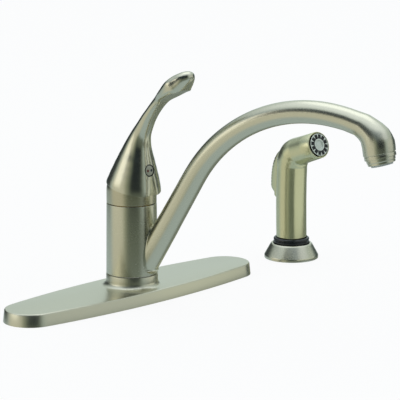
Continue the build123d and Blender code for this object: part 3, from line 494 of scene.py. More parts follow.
weld_top = (*on_rise(34), SPOUT_RISE, 10.45)
crown_foot = on_rise(RISE_LENGTH)
crown_centre = (crown_foot[0] + CROWN_R * rise_sin, crown_foot[1] - CROWN_R * rise_cos)


def on_crown(heading):
    return crown_centre[0] - CROWN_R * sine(heading), crown_centre[1] + CROWN_R * cosine(heading)


def sleeve_radius(height):
    share = (height - SLEEVE_BOTTOM) / (SLEEVE_TOP - SLEEVE_BOTTOM)
    return SLEEVE_R_BOTTOM + (SLEEVE_R_TOP - SLEEVE_R_BOTTOM) * share


def down_to_sleeve(point):
    """Where a point, sent back down the rise, meets the sleeve or the foot's level cut."""
    way = Vector((0, rise_cos, -rise_sin))
    low, high = 0.0, SEARCH_LENGTH
    for _ in range(SEARCH_HALVINGS):
        middle = (low + high) / 2
        there = point + way * middle
        outside = math.hypot(there.x, there.y) > sleeve_radius(there.z)
        if outside and there.y < 0 and there.z > SPOUT_FOOT_LEVEL:
            low = middle
        else:
            high = middle
    return point + way * low


def weld_ring(back_off, spread):
    """A ring just above the sleeve: backed off up the tube, or spread outwards on the sleeve."""
    middle = Vector((0, -RISE_START[0], RISE_START[1]))
    way = Vector((0, -rise_cos, rise_sin))
    points = []
    for start in ring_at(weld_top, TUBE_SIDES):
        on_axis = middle + way * (start - middle).dot(way)
        outward = (start - on_axis).normalized()
        foot = down_to_sleeve(start + outward * (WELD_PROUD + spread))
        points.append(foot + way * back_off)
    return points


def below_bell(drop, radius):
    """A station on the outlet's axis, drop below the bell's edge."""
    return (OUTLET_END[0] + drop * cosine(OUTLET_HEADING),
            OUTLET_END[1] + drop * sine(OUTLET_HEADING), OUTLET_HEADING, radius)


# the tube's forward, height, heading and radius, from its weld over the crown to its bell
tube_stations = [
    weld_top,
    (*on_rise(45), SPOUT_RISE, 10.2),
    (*on_rise(70), SPOUT_RISE, 9.9),
    (*on_crown(56), 56, 9.65),
    (*on_crown(45), 45, 9.5),
    (*on_crown(30), 30, 9.35),
    (*on_crown(15), 15, 9.4),
    (*on_crown(0), 0, 9.5),
    (*on_crown(-10), -10, 9.5),
    (207.3, 170.0, -18, 9.55),
    (219.0, 166.0, -40, 10.6),
    (226.9, 160.2, -60, 12.4),
    (230.2, 153.6, -71, 13.4),
    (*OUTLET_END, OUTLET_HEADING, 13.3),
]
# each step's drop below the bell's edge, and its radius
outlet_steps = [(-0.3, 13.3), (0, 13.0), (0, 12.5), (0.5, 12.5), (0.6, 12.8), (0.9, 12.9),
                (BEAD_H - 0.4, 12.9), (BEAD_H - 0.1, 12.8), (BEAD_H, 12.5), (BEAD_H, 10.6),
                (-3.4, 10.6)]
# how far each ring of the weld is backed off, and how far it is spread
weld_steps = [(-3.0, 0.0), (0.0, 1.3), (0.35, 0.75), (0.8, 0.35), (1.5, 0.1), (2.6, 0.0)]
tube = loft("spout_tube", [weld_ring(*step) for step in weld_steps]
            + [ring_at(weld_top, TUBE_SIDES)])
sweep(smooth_run(tube_stations, TUBE_SPACING)[:-1] + [below_bell(*step) for step in outlet_steps])
close_up(tube, holes=True)

sleeve = turned("spout_sleeve", eased([
    (SLEEVE_BORE, SLEEVE_BOTTOM, 0), (SLEEVE_R_BOTTOM, SLEEVE_BOTTOM, 0.3),
    (SLEEVE_R_TOP, SLEEVE_TOP, 0.3), (SLEEVE_BORE, SLEEVE_TOP, 0)]), sides=BODY_SIDES)
join(sleeve, tube)
sleeve.name = sleeve.data.name = "spout_shell"
set_in_place(sleeve, swing=SPOUT_SWING)
finish_piece(sleeve, turned_nickel, "spout", "brushed_nickel", "spout")

aerator = turned("aerator_collar", eased([
    (9.0, BEAD_H - 2, 0), (11.7, BEAD_H - 2, 0), (11.9, BEAD_H + 0.1, 0.1),
    (11.7, BEAD_H + 2.4, 0.3), (11.3, BEAD_H + 2.7, 0.2), (11.2, 8.1, 0.2), (10.5, 8.4, 0.15),
    (8.3, 8.4, 0.2), (8.2, 6.3, 0), (9.0, 6.2, 0)]))
set_in_place(aerator, *OUTLET_END, swing=SPOUT_SWING, tilt=90 - OUTLET_HEADING)
finish_piece(aerator, turned_nickel, "spout", "brushed_nickel", "aerator_shell")

# ---- cap -------------------------------------------------------------------------------------
cap = turned("cartridge_cap", eased([
    (18.46, 83.1, 0), (21.4, 83.1, 0.2), (21.4, CAP_TOP, 10.0), (8.2, CAP_TOP, 0.3),
    (8.2, 101.2, 0), (13.0, 97.0, 0), (13.0, 91.45, 0), (14.4, 91.45, 0), (14.4, 90.43, 0),
    (18.46, 90.43, 0)], steps=8), sides=BODY_SIDES)
finish_piece(cap, shaded_cap_nickel, "base", "brushed_nickel", "cap")

# ---- lever handle ----------------------------------------------------------------------------
# Each section has its forward, height, heading, half width, back depth, front depth, ridge angle,
# valley depth, flatness and squareness. Two ridges run up the front, at the ridge angle to either
# side of its middle, with the valley between. Flatness 1 makes the face between them flat, and
# squareness 2 makes the section an ellipse.
HANDLE_STATIONS = [
    (2.2, 86.0, 90, 23.8, 23.6, 23.7, 17.0, 1.25, 1, 2),
    (2.2, 94.5, 90, 23.5, 23.3, 23.5, 14.8, 1.25, 1, 2),
    (1.9, 101.2, 89, 22.8, 22.5, 22.9, 12.7, 1.2, 1, 2),
    (3.1, 108.1, 88, 20.7, 20.4, 20.7, 11.3, 1.0, 1, 2),
    (4.6, 115.8, 86, 17.9, 17.9, 18.0, 9.3, 0.7, 1, 2),
    (6.1, 122.6, 83, 15.5, 15.3, 15.4, 8.0, 0.5, 1, 2),
    (7.7, 129.6, 77, 12.8, 12.5, 12.8, 7.9, 0.35, 1, 2),
    (9.8, 136.5, 69, 10.7, 10.0, 10.2, 8.8, 0.25, 1, 2),
    (12.9, 144.0, 62, 8.9, 7.8, 7.9, 10.1, 0.12, 1, 2),
    (17.6, 151.6, 57, 8.0, 6.3, 6.2, 10.1, 0.05, 1, 2),
    (22.1, 158.4, 53, 7.5, 5.4, 5.3, 10.2, 0.02, 1, 2),
    (28.7, 166.4, 48, 7.2, 4.8, 4.6, 18.3, 0.05, 1, 2),
    (38.1, 175.4, 43, 7.8, 5.6, 3.9, 40.2, 0.15, 1, 2.1),
    (46.0, 181.2, 38, 11.3, 6.3, 5.3, 49.0, 0.2, 1, 2.4),
    (56.3, 189.9, 31, 13.2, 6.4, 9.3, 45.0, 0.3, 1, 2.7),
    (61.6, 193.4, 28, 10.9, 6.6, 8.5, 17.0, 0.2, 1, 2.5),
    (67.8, 197.8, 25, 7.9, 4.6, 6.2, 5.0, 0.05, 1, 2.2),
    (71.2, 199.5, 22, 4.2, 2.5, 3.5, 6.0, 0, 0, 2),
    (72.6, 200.1, 20, 1.0, 0.6, 0.8, 5.0, 0, 0, 2),
]
FACE_STEPS = 28
ROUND_STEPS = 84
BACK_CLOSING = 1.4
RIDGE_ROUNDS = 3
HANDLE_SPACING = 2.2


def handle_ring(station):
    """A section, from the back's middle round over the left ridge, the face and the right ridge."""
    forward, height, heading, half_width, back, front, ridge, valley, flatness, square = station

    def on_egg(angle):
        depth = front if cosine(angle) > 0 else back
        power = 2 / square
        return (half_width * math.copysign(abs(sine(angle)) ** power, sine(angle)),
                depth * math.copysign(abs(cosine(angle)) ** power, cosine(angle)))

    half = ROUND_STEPS // 2
    closing = [1 - (1 - k / half) ** BACK_CLOSING for k in range(half)]
    places = [on_egg(-180 + (180 - ridge) * share) for share in closing]
    ridge_x, ridge_depth = on_egg(ridge)
    for k in range(FACE_STEPS + 1):
        share = 2 * k / FACE_STEPS - 1
        x, depth = on_egg(ridge * share)
        x += (ridge_x * share - x) * flatness
        depth += (ridge_depth - depth) * flatness - valley * (1 - share**2)
        places.append((x, depth))
    places += [on_egg(180 - (180 - ridge) * share) for share in reversed(closing[1:])]
    # both ridges are softly rounded
    for _ in range(RIDGE_ROUNDS):
        before = list(places)
        for corner in (half, half + FACE_STEPS):
            for k in range(corner - 2, corner + 3):
                places[k] = tuple((a + 2 * b + c) / 4 for a, b, c in zip(*before[k - 1:k + 2]))
    return [Vector((x, -forward - depth * sine(heading), height - depth * cosine(heading)))
            for x, depth in places]


handle = loft("lever_handle",
              [handle_ring(station) for station in smooth_run(HANDLE_STATIONS, HANDLE_SPACING)])
bpy.ops.mesh.merge(type="CENTER")

# the skirt is cut level with its oblique rim, and its wall goes up inside as a round hollow
bpy.ops.mesh.select_all(action="SELECT")
bpy.ops.mesh.bisect(plane_co=(0, 0, RIM_HEIGHT * MM),
                    plane_no=(0, -sine(RIM_SLOPE), cosine(RIM_SLOPE)), clear_inner=True)
mesh = bmesh.from_edit_mesh(handle.data)
rim = [vertex.co / MM for vertex in mesh.verts if vertex.select]


def hollow_ring(rise):
    """The rim's points moved in to the hollow's wall: rise is 0 at the rim and 1 at the crown."""
    moved = []
    for place in rim:
        outward = Vector((place.x, place.y, 0)).normalized()
        rim_r = math.sqrt(max(HOLLOW_R**2 - (place.z - PIVOT_Z) ** 2, 0))
        start = math.atan2(place.z - PIVOT_Z, rim_r)
        angle = start + (math.pi / 2 - start) * rise
        moved.append(outward * HOLLOW_R * math.cos(angle)
                     + Vector((0, 0, PIVOT_Z + HOLLOW_R * math.sin(angle))))
    return moved


HOLLOW_RISES = (0, 0.15, 0.35, 0.55, 0.75, 0.9)
for rise in HOLLOW_RISES:
    draw_out()
    lay_ring(handle, hollow_ring(rise))
draw_out()
bpy.ops.mesh.merge(type="CENTER")
close_up(handle)
BUTTON_SIDES = 64
button_hole = turned("button_hole", [(BUTTON_HOLE_R, 0), (BUTTON_HOLE_R, BUTTON_HOLE_DEPTH)],
                     sides=BUTTON_SIDES, solid=True)
set_in_place(button_hole, BUTTON_FORWARD + 0.1, BUTTON_Z, tilt=90 - BUTTON_LEAN)
cut_away(handle, button_hole)
finish_piece(handle, sculpted_nickel, "handle", "brushed_nickel", "handle", sharp=50)

# ---- hot and cold button ---------------------------------------------------------------------
SHADE_RING_BORE = 3.9
SHADE_RING_R = BUTTON_HOLE_R - 0.1
SHADE_RING_FOOT = 0.2
SHADE_RING_TOP = 2.7
DOT_R = 1.15
DOT_OUT = 2.0
button = turned("temperature_button_face", eased([
    (BUTTON_R - 0.6, 0, 0), (BUTTON_R, 0, 0), (BUTTON_R, 3.4, 0.3), (2.2, 3.6, 0.5),
    (0.05, 3.65, 0)]), sides=BUTTON_SIDES, solid=True)
paint(button, satin_button)
# a black ring in the recess round the button: painted shade in the gap between the button and the
# handle
shade_ring = turned("temperature_button_shade_ring", eased([
    (SHADE_RING_BORE, SHADE_RING_FOOT, 0), (SHADE_RING_R, SHADE_RING_FOOT, 0),
    (SHADE_RING_R, SHADE_RING_TOP, 0.15), (SHADE_RING_BORE, SHADE_RING_TOP, 0)]), sides=BUTTON_SIDES)
paint(shade_ring, black_plastic)
join(button, shade_ring)
for side, enamel in ((-DOT_OUT, red_enamel), (DOT_OUT, blue_enamel)):
    dot = turned("temperature_dot", eased([
        (0.6, 3.2, 0), (DOT_R, 3.2, 0), (DOT_R, 3.7, 0.08), (0.05, 3.75, 0)]),
        sides=24, solid=True)
    paint(dot, enamel)
    dot.location.x = side * MM
    only(dot)
    bpy.ops.object.transform_apply(location=True)
    join(button, dot)
set_in_place(button, BUTTON_FORWARD, BUTTON_Z, tilt=90 - BUTTON_LEAN)
finish_piece(button, None, "handle", "button_plastic", "temperature_button")

# ---- sprayer's holder ------------------------------------------------------------------------
HOLDER_SIDES = 128
flange = turned("spray_holder_flange", eased([
    (12.6, -42.0, 0), (13.6, -42.0, 0), (14.6, -41.0, 0), (14.6, -34.6, 0), (15.0, -34.6, 0),
    (15.0, 0, 0), (24.9, 0, 0.4), (25.0, 2.6, 0.6), (19.3, 13.0, 0.6), (18.4, FLANGE_TOP, 0.5),
    (17.0, FLANGE_TOP, 0.3), (17.0, 11.0, 0), (14.1, 11.0, 0), (14.1, 3.0, 0), (12.6, 0, 0)]),
    sides=HOLDER_SIDES)
set_in_place(flange, origin_x=SPRAY_X)
finish_piece(flange, turned_nickel, "base", "plated_plastic", "spray_holder")

bushing = turned("spray_bushing_ring", eased([
    (13.6, 3.6, 0), (14.0, 3.6, 0), (14.0, 11.05, 0), (16.4, 11.05, 0), (16.4, 14.4, 0.2),
    (16.6, 15.0, 0.2), (16.6, 15.9, 0.2), (15.7, 16.4, 0.2), (15.7, 16.9, 0.2), (16.6, 17.5, 0.3),
    (16.3, 18.7, 0.4), (15.4, 19.4, 0.4), (14.7, 19.4, 0.2), (14.3, 17.4, 0), (13.6, 16.0, 0)]),
    sides=HOLDER_SIDES)
set_in_place(bushing, origin_x=SPRAY_X)
finish_piece(bushing, black_plastic, "base", "black_plastic", "spray_bushing")

# ---- sprayer ---------------------------------------------------------------------------------
SPRAY_SIDES = 96
STEM_SPACING = 5.0
ELBOW_STEPS = 5
MOUTH_R = 11.4
MOUTH_EDGE = HEAD_REACH - 1.9
MOUTH_FLOOR = HEAD_REACH - 6.6


def on_elbow(heading, reach, radius):
    """A station at a reach from the elbow's inner corner."""
    return (ELBOW_CENTRE[0] + reach * cosine(heading + 90),
            ELBOW_CENTRE[1] + reach * sine(heading + 90), heading, radius)


def on_head(distance, radius):
    """A station on the head's axis."""
    return (distance * cosine(HEAD_TILT), HEAD_AXIS_Z + distance * sine(HEAD_TILT), HEAD_TILT,
            radius)


def elbow_run():
    """The elbow's stations, which fan out from its inner corner every few degrees."""
    corners = ((90, 16.0, 13.9), (67, 16.3, 14.3), (43, 16.6, 14.2), (20, 16.75, 12.9))
    run = []
    for first, last in zip(corners, corners[1:]):
        for step in range(1, ELBOW_STEPS + 1):
            share = step / ELBOW_STEPS
            run.append(on_elbow(*(a + (b - a) * share for a, b in zip(first, last))))
    return run


stem_stations = [(0, SPRAY_FOOT + 0.4, 90, 14.0), (-0.4, 36, 90, 14.0), (-0.7, 53, 90, 14.0),
                 (-0.5, 70, 90, 13.9), on_elbow(90, 16.0, 13.9)]
head_stations = [on_head(12, 12.85), on_head(24, 12.5), on_head(HEAD_REACH - 2.2, 12.25),
                 on_head(MOUTH_EDGE, 12.05), on_head(MOUTH_EDGE, MOUTH_R),
                 on_head(MOUTH_FLOOR, MOUTH_R)]
spray_body = loft("spray_body_shell", [ring_at((0, SPRAY_FOOT, 90, 13.6), SPRAY_SIDES),
                                       ring_at(stem_stations[0], SPRAY_SIDES)])
sweep(smooth_run(stem_stations, STEM_SPACING) + elbow_run() + head_stations)
close_up(spray_body, holes=True)

# the pocket that the trigger sits in is cut from the back: forward and height of its outline
POCKET_HALF_W = 7.95
POCKET_OUTLINE = [(-24, 54.0), (-9.4, 54.0), (-9.4, 84.0), (-4.6, 88.0), (-4.6, 97.5),
                  (-9.0, 101.0), (-24.0, 108.0)]
pocket = loft("trigger_pocket", [[(side, -forward, height) for forward, height in POCKET_OUTLINE]
                                 for side in (-POCKET_HALF_W, POCKET_HALF_W)])
close_up(pocket, holes=True)
cut_away(spray_body, pocket)
set_in_place(spray_body, swing=SPRAY_YAW, origin_x=SPRAY_X)
finish_piece(spray_body, plated_plastic, "sprayer", "plated_plastic", "spray_body", sharp=40)

face_ring = turned("spray_face_rim", eased([
    (11.45, -1.88, 0), (12.15, -1.88, 0), (12.15, -1.1, 0.35), (11.45, -1.1, 0.2)]),
    sides=SPRAY_SIDES)
face_place = on_head(HEAD_REACH, 0)[:2]
set_in_place(face_ring, *face_place, swing=SPRAY_YAW, tilt=90 - HEAD_TILT, origin_x=SPRAY_X)
finish_piece(face_ring, plated_plastic, "sprayer", "plated_plastic", "spray_face_ring")

# a thin pale cover with a dished middle and twelve windows, over a black drum whose nubs fill them.
# The nubs' black rubber is their own; the drum's black side wall, just below the cover's edge, is
# painted shade in the groove round the face.
WINDOWS = 12
WINDOW_RING_R = 7.6
WINDOW_WIDTH, WINDOW_DEPTH, WINDOW_FOOT, WINDOW_TOP = 3.3, 4.1, -3, 2
NUB_WIDTH, NUB_DEPTH, NUB_FOOT, NUB_TOP, NUB_BEVEL = 3.1, 3.9, -0.9, -0.12, 0.25
nozzle = turned("spray_nozzle_cover", eased([
    (9.6, -0.55, 0), (10.25, -0.55, 0.1), (10.25, 0, 0.25), (4.4, 0, 0.25), (4.0, -1.1, 0.4),
    (2.4, -0.95, 0.6), (0.05, -0.8, 0), (0.05, -2.5, 0), (4.8, -2.5, 0), (5.0, -0.55, 0)]),
    sides=SPRAY_SIDES)
paint(nozzle, spray_face_plastic)
drum = turned("spray_nozzle_drum", eased([
    (8.0, -6.4, 0), (10.15, -6.4, 0.3), (10.15, -0.6, 0.1), (5.1, -0.6, 0), (5.1, -3.0, 0),
    (0.05, -3.0, 0)]), sides=SPRAY_SIDES, solid=True)
paint(drum, black_rubber)


def window_block(angle, width, depth, low, high):
    """A block on the ring of windows, selected, with its depth towards the nozzle's middle."""
    bpy.ops.object.select_all(action="DESELECT")
    bpy.ops.mesh.primitive_cube_add(size=1, location=(0, 0, (low + high) / 2 * MM))
    block = bpy.context.object
    block.scale = Vector((width, depth, high - low)) * MM
    bpy.ops.object.transform_apply(location=True, scale=True)
    block.location.y = WINDOW_RING_R * MM
    bpy.ops.object.transform_apply(location=True)
    block.rotation_euler.z = angle
    bpy.ops.object.transform_apply(rotation=True)
    return block


for k in range(WINDOWS):
    angle = math.tau * (k + 0.5) / WINDOWS
    window = window_block(angle, WINDOW_WIDTH, WINDOW_DEPTH, WINDOW_FOOT, WINDOW_TOP)
    cut_away(nozzle, window)
    nub = window_block(angle, NUB_WIDTH, NUB_DEPTH, NUB_FOOT, NUB_TOP)
    bpy.ops.object.modifier_add(type="BEVEL")
    nub.modifiers[-1].width = NUB_BEVEL * MM
    nub.modifiers[-1].segments = 2
    bpy.ops.object.modifier_apply(modifier=nub.modifiers[-1].name)
    paint(nub, black_rubber)
    join(drum, nub)
join(nozzle, drum)
set_in_place(nozzle, *face_place, swing=SPRAY_YAW, tilt=90 - HEAD_TILT, origin_x=SPRAY_X)
finish_piece(nozzle, None, "sprayer", "grey_plastic", "spray_nozzle")

# ---- trigger ---------------------------------------------------------------------------------
# Its back edge and the plane of its rim, from the hooked top down: forward and height of each,
# then the half width.
TRIGGER_STATIONS = [
    (-9.8, 101.4, -8.0, 100.6, 4.4), (-12.2, 99.0, -8.6, 98.0, 6.4),
    (-14.4, 96.4, -8.6, 95.2, 7.6), (-16.9, 92.4, -8.6, 91.4, 8.3),
    (-18.8, 88.0, -10.0, 87.5, 8.6), (-20.2, 83.0, -11.4, 83.0, 8.6),
    (-21.3, 78.0, -11.4, 78.0, 8.6), (-21.8, 73.0, -11.4, 73.0, 8.6),
    (-21.9, 68.0, -11.4, 68.0, 8.6), (-21.8, 65.0, -11.4, 65.2, 8.6),
    (-21.2, 63.5, -11.4, 63.7, 8.5), (-19.2, 61.6, -11.4, 62.0, 8.4),
    (-17.6, 60.5, -11.4, 60.8, 8.2), (-17.2, 59.7, -11.4, 59.8, 8.1),
    (-17.2, 57.4, -11.4, 57.6, 8.0), (-16.3, 56.3, -11.4, 56.6, 7.8),
    (-15.0, 55.4, -11.4, 55.9, 7.5), (-14.0, 54.9, -11.4, 55.4, 7.2),
]
TRIGGER_SPACING = 0.5
PAD_STEPS = 40
PAD_POWER = 0.42
FLAT_STEPS = 6
RIB_PITCH = 2.9
RIB_HEIGHT = 0.22
RIBS_LOW, RIBS_HIGH = 64, 92


def trigger_run():
    """Close stations down the trigger, with shallow cross ribs on its back."""
    run, travelled = [], 0.0
    for first, last in zip(TRIGGER_STATIONS, TRIGGER_STATIONS[1:]):
        length = math.dist(first[:2], last[:2])
        count = max(1, round(length / TRIGGER_SPACING))
        for step in range(count):
            share = step / count
            back, high, *rest = (a + (b - a) * share for a, b in zip(first, last))
            if RIBS_LOW < high < RIBS_HIGH:
                turn = math.tau * (travelled + length * share) / RIB_PITCH
                back -= RIB_HEIGHT * math.sin(turn)
            run.append((back, high, *rest))
        travelled += length
    return run + [TRIGGER_STATIONS[-1]]


def pad_ring(station):
    """A trigger section: a thumb pad with well-rounded edges, and a flat face inside the body."""
    back, high, face, low, half_width = station
    ring = []
    for k in range(PAD_STEPS + 1):
        turn = math.pi * (k / PAD_STEPS - 0.5)
        side = half_width * math.copysign(abs(math.sin(turn)) ** PAD_POWER, turn)
        share = math.cos(turn) ** PAD_POWER if k not in (0, PAD_STEPS) else 0
        ring.append((side, -face - (back - face) * share, low + (high - low) * share))
    ring += [(half_width * (1 - 2 * k / FLAT_STEPS), -face, low) for k in range(1, FLAT_STEPS)]
    return ring


trigger = loft("spray_trigger_pad", [pad_ring(station) for station in trigger_run()])
close_up(trigger, holes=True)
set_in_place(trigger, swing=SPRAY_YAW, origin_x=SPRAY_X)
finish_piece(trigger, plated_plastic, "trigger", "plated_plastic", "spray_trigger", sharp=40)

# ---- CAD nodes that stay ---------------------------------------------------------------------
kept_finishes = {
    brass: ("valve_body", "supply_inlets", "spray_outlet"),
    zinc_steel: ("mounting_studs", "mounting_washers", "lever_pin", "lever_stem",
                 "handle_set_screw", "spray_trigger_pin", "spray_plunger_spring",
                 "spray_holder_washer"),
    black_rubber: ("plate_gasket", "spout_seals", "aerator_washer", "cartridge_gasket",
                   "diverter_valve"),
    black_plastic: ("hose_connector",),
    grey_plastic: ("aerator_screen", "spray_valve_cage", "spray_plunger"),
    white_plastic: ("mounting_nuts", "spray_holder_nut", "spout_glide_ring", "cartridge_housing",
                    "lever_carrier", "disc_driver"),
    white_ceramic: ("fixed_disc", "sliding_disc"),
}
for material, names in kept_finishes.items():
    for name in names:
        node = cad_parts[name]
        node.data.materials.clear()
        node.data.materials.append(material)


# ---- floor -----------------------------------------------------------------------------------
FLOOR_SIZE = 12
FLOOR_COLOUR = (0.86, 0.87, 0.86, 1)
FLOOR_LIFT = 0.9
WHITE = (1, 1, 1, 1)


def floor_material():
    """Matt ground that keeps a soft shadow, and that is lifted to white where the camera sees it.

    It is clear from below, and clear to mirrored rays, which go on to the studio."""
    material = bpy.data.materials.new("floor_white")
    material.use_nodes = True
    tree = material.node_tree
    tree.nodes.clear()
    matt = add_node(tree, "BsdfDiffuse", Color=FLOOR_COLOUR)
    white = add_node(tree, "Emission", Color=WHITE)
    clear = add_node(tree, "BsdfTransparent")
    rays = add_node(tree, "LightPath")
    seen = add_node(tree, "Math", "MAXIMUM")
    lift = add_node(tree, "Math", "MULTIPLY")
    lift.inputs[1].default_value = FLOOR_LIFT
    ground = add_node(tree, "MixShader")
    side = add_node(tree, "NewGeometry")
    hidden = add_node(tree, "Math", "MAXIMUM")
    surface = add_node(tree, "MixShader")
    out = add_node(tree, "OutputMaterial")
    wire(tree, (rays, "Is Camera Ray", seen, 0), (rays, "Is Transmission Ray", seen, 1),
         (seen, "Value", lift, 0), (lift, "Value", ground, "Fac"), (matt, "BSDF", ground, 1),
         (white, "Emission", ground, 2), (side, "Backfacing", hidden, 0),
         (rays, "Is Glossy Ray", hidden, 1), (hidden, "Value", surface, "Fac"),
         (ground, "Shader", surface, 1), (clear, "BSDF", surface, 2),
         (surface, "Shader", out, "Surface"))
    return material


bpy.ops.object.select_all(action="DESELECT")
bpy.ops.mesh.primitive_plane_add(size=FLOOR_SIZE)
floor = bpy.context.object
floor.name = "floor"
floor.data.materials.append(floor_material())


# ---- world -----------------------------------------------------------------------------------
def compass(azimuth, elevation):
    """The direction at azimuth degrees from -Y towards +X, and elevation degrees up."""
    return Vector((sine(azimuth) * cosine(elevation), -cosine(azimuth) * cosine(elevation),
                   sine(elevation)))


def build_panel_group():
    """A soft-edged panel of the studio, over what is behind it.

    It covers a range of azimuth about Facing and a range of height."""
    group, given, out = start_group(
        "studio_panel", vectors=("Direction", "Facing"), colours=("Behind", "Panel"),
        values=("Reach", "Core", "Foot", "Low", "High", "Top"), results=(("Colour", "Color"),))
    level = add_node(group, "VectorMath", "MULTIPLY")
    level.inputs[1].default_value = (1, 1, 0)
    heading = add_node(group, "VectorMath", "NORMALIZE")
    facing = add_node(group, "VectorMath", "DOT_PRODUCT")
    parts = add_node(group, "SeparateXYZ")
    wire(group, (given, "Direction", level, 0), (level, "Vector", heading, 0),
         (heading, "Vector", facing, 0), (given, "Facing", facing, 1),
         (given, "Direction", parts, "Vector"))
    mask = None
    for source, value, start, end in ((facing, "Value", "Reach", "Core"),
                                      (parts, "Z", "Foot", "Low"), (parts, "Z", "Top", "High")):
        edge = add_node(group, "MapRange")
        edge.interpolation_type = "SMOOTHSTEP"
        wire(group, (source, value, edge, "Value"), (given, start, edge, "From Min"),
             (given, end, edge, "From Max"))
        if mask:
            both = add_node(group, "Math", "MULTIPLY")
            wire(group, (*mask, both, 0), (edge, "Result", both, 1))
            mask = (both, "Value")
        else:
            mask = (edge, "Result")
    mix = add_colour_mix(group)
    wire(group, (*mask, mix, "Factor"), (given, "Behind", mix, "A"), (given, "Panel", mix, "B"),
         (mix, "Result", out, "Colour"))
    return group


# The studio as the metal mirrors it, in degrees: a panel's azimuth, its core and its reach to
# either side, then the elevations where it starts, is full, starts to fade and ends, and its
# colour. A later panel stands in front of an earlier one.
GROUND = (0.50, 0.60, 0.64)
PANELS = [
    ("walls", 0, 180, 180, -20, 18, 90, 90, (0.54, 0.63, 0.62)),
    ("right_ground", 98, 28, 48, -75, -55, -10, -3, (0.24, 0.28, 0.25)),
    ("left_wall", -120, 42, 62, 20, 27, 32, 44, (0.40, 0.48, 0.54)),
    ("ceiling", 0, 180, 180, 26, 62, 90, 90, (1.08, 1.18, 1.30)),
    ("front_ceiling", -34, 30, 58, 30, 40, 48, 66, (0.33, 0.39, 0.46)),
    ("right_ceiling", 16, 18, 36, 26, 31, 40, 52, (0.82, 0.89, 0.98)),
    ("back_screen", 130, 30, 50, -6, 2, 30, 40, (0.68, 0.79, 0.80)),
    ("window", -106, 24, 48, -55, -30, 18, 27, (0.72, 0.72, 0.63)),
    ("bright_screen", -118, 12, 28, 8, 15, 22, 27, (1.0, 1.0, 0.96)),
    ("olive_wall", -66, 6, 20, -32, -20, 20, 26, (0.37, 0.40, 0.31)),
    ("shade", -34, 24, 42, -34, -22, 30, 38, (0.16, 0.19, 0.155)),
    ("dark_flag", -33, 16, 31, -9, 3, 25, 32, (0.014, 0.02, 0.026)),
    ("high_flag", -65, 16, 34, 20, 26, 36, 48, (0.16, 0.20, 0.22)),
    ("right_screen", 43, 18, 34, -9, 0, 16, 25, (0.68, 0.72, 0.70)),
    ("brown_right", 32, 24, 40, -19, -15, -10, -6, (0.10, 0.10, 0.06)),
    ("slate_right", 90, 14, 30, -12, -2, 9, 16, (0.05, 0.07, 0.075)),
    ("slate_back", 177, 16, 36, -12, -3, 14, 28, (0.035, 0.045, 0.05)),
]


def build_world():
    """White to camera and transmission rays, and the studio's panels to all others."""
    world = bpy.data.worlds.new("studio")
    bpy.context.scene.world = world
    world.use_nodes = True
    tree = world.node_tree
    tree.nodes.clear()
    place = add_node(tree, "TexCoord")
    panel_group = build_panel_group()
    behind = None
    for name, azimuth, core, reach, foot, low, high, top, shade in PANELS:
        panel = add_node(tree, "Group")
        panel.node_tree = panel_group
        panel.name = name
        values = {"Facing": compass(azimuth, 0), "Foot": sine(foot), "Low": sine(low),
                  "Panel": (*shade, 1), "Behind": (*GROUND, 1)}
        # a panel that goes all round, or up to the zenith, has its edge out of reach
        values["Reach"], values["Core"] = (cosine(reach), cosine(core)) if reach < 180 else (-3, -2)
        values["High"], values["Top"] = (sine(high), sine(top)) if top < 90 else (2, 3)
        for socket, value in values.items():
            panel.inputs[socket].default_value = value
        wire(tree, (place, "Generated", panel, "Direction"))
        if behind:
            wire(tree, (behind, "Colour", panel, "Behind"))
        behind = panel
    rays = add_node(tree, "LightPath")
    clear = add_node(tree, "Math", "MAXIMUM")
    seen = add_colour_mix(tree)
    seen.inputs["B"].default_value = WHITE
    background = add_node(tree, "Background")
    out = add_node(tree, "OutputWorld")
    wire(tree, (rays, "Is Camera Ray", clear, 0), (rays, "Is Transmission Ray", clear, 1),
         (clear, "Value", seen, "Factor"), (behind, "Colour", seen, "A"),
         (seen, "Result", background, "Color"), (background, "Background", out, "Surface"))


build_world()


# ---- cards and lights ------------------------------------------------------------------------
SOFTBOX_AIM = Vector((0.08, 0, 0.08))
SOFTBOX_DISTANCE = 1.7


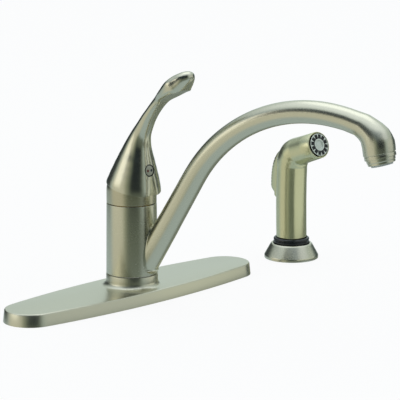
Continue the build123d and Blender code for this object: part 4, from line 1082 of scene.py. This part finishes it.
def softbox(name, azimuth, elevation, width, height, power, colour):
    """A rectangular lamp that faces the faucet, in metres and watts."""
    bpy.ops.object.select_all(action="DESELECT")
    direction = compass(azimuth, elevation)
    bpy.ops.object.light_add(type="AREA", location=SOFTBOX_AIM + direction * SOFTBOX_DISTANCE)
    lamp = bpy.context.object
    lamp.name = name
    lamp.rotation_euler = direction.to_track_quat("Z", "Y").to_euler()
    lamp.data.shape = "RECTANGLE"
    lamp.data.size = width
    lamp.data.size_y = height
    lamp.data.energy = power
    lamp.data.color = colour


def studio_card(name, left, right, low, high, colour):
    """An upright card near the faucet that only mirrored rays meet, with its ends as (x, y)."""
    material = bpy.data.materials.new(name)
    material.use_nodes = True
    tree = material.node_tree
    tree.nodes.clear()
    shade = add_node(tree, "Emission", Color=(*colour, 1))
    clear = add_node(tree, "BsdfTransparent")
    rays = add_node(tree, "LightPath")
    surface = add_node(tree, "MixShader")
    out = add_node(tree, "OutputMaterial")
    wire(tree, (rays, "Is Glossy Ray", surface, "Fac"), (clear, "BSDF", surface, 1),
         (shade, "Emission", surface, 2), (surface, "Shader", out, "Surface"))
    card = loft(name, [[(*left, low), (*left, high), (*right, high), (*right, low)]])
    bpy.ops.mesh.edge_face_add()
    bpy.ops.object.mode_set(mode="OBJECT")
    card.data.materials.append(material)


studio_card("sprayer_card", (118, -170), (520, -170), -15, 78, (0.80, 0.84, 0.77))
studio_card("crown_card", (-235, 0), (-130, -260), 200, 350, (0.03, 0.045, 0.055))
softbox("key_softbox", -116, 14, 0.9, 0.6, 1.0, (1.0, 0.97, 0.9))
softbox("top_softbox", 120, 72, 1.3, 1.3, 3.0, (0.95, 0.98, 1.0))

# ---- camera ----------------------------------------------------------------------------------
CAMERA_AIM = Vector((0.082876, 0.0, 0.071876))
CAMERA_DISTANCE = 1.84954
SENSOR_WIDTH = 36
LENS = 188.753
FAR_CLIP = 20
toward_camera = compass(-45.2416, 11.9237)
bpy.ops.object.select_all(action="DESELECT")
bpy.ops.object.camera_add(location=CAMERA_AIM + toward_camera * CAMERA_DISTANCE)
camera = bpy.context.object
camera.name = "camera"
camera.rotation_euler = toward_camera.to_track_quat("Z", "Y").to_euler()
camera.data.sensor_width = SENSOR_WIDTH
camera.data.lens = LENS
camera.data.clip_end = FAR_CLIP
bpy.context.scene.camera = camera
bpy.context.scene.view_settings.view_transform = "Standard"
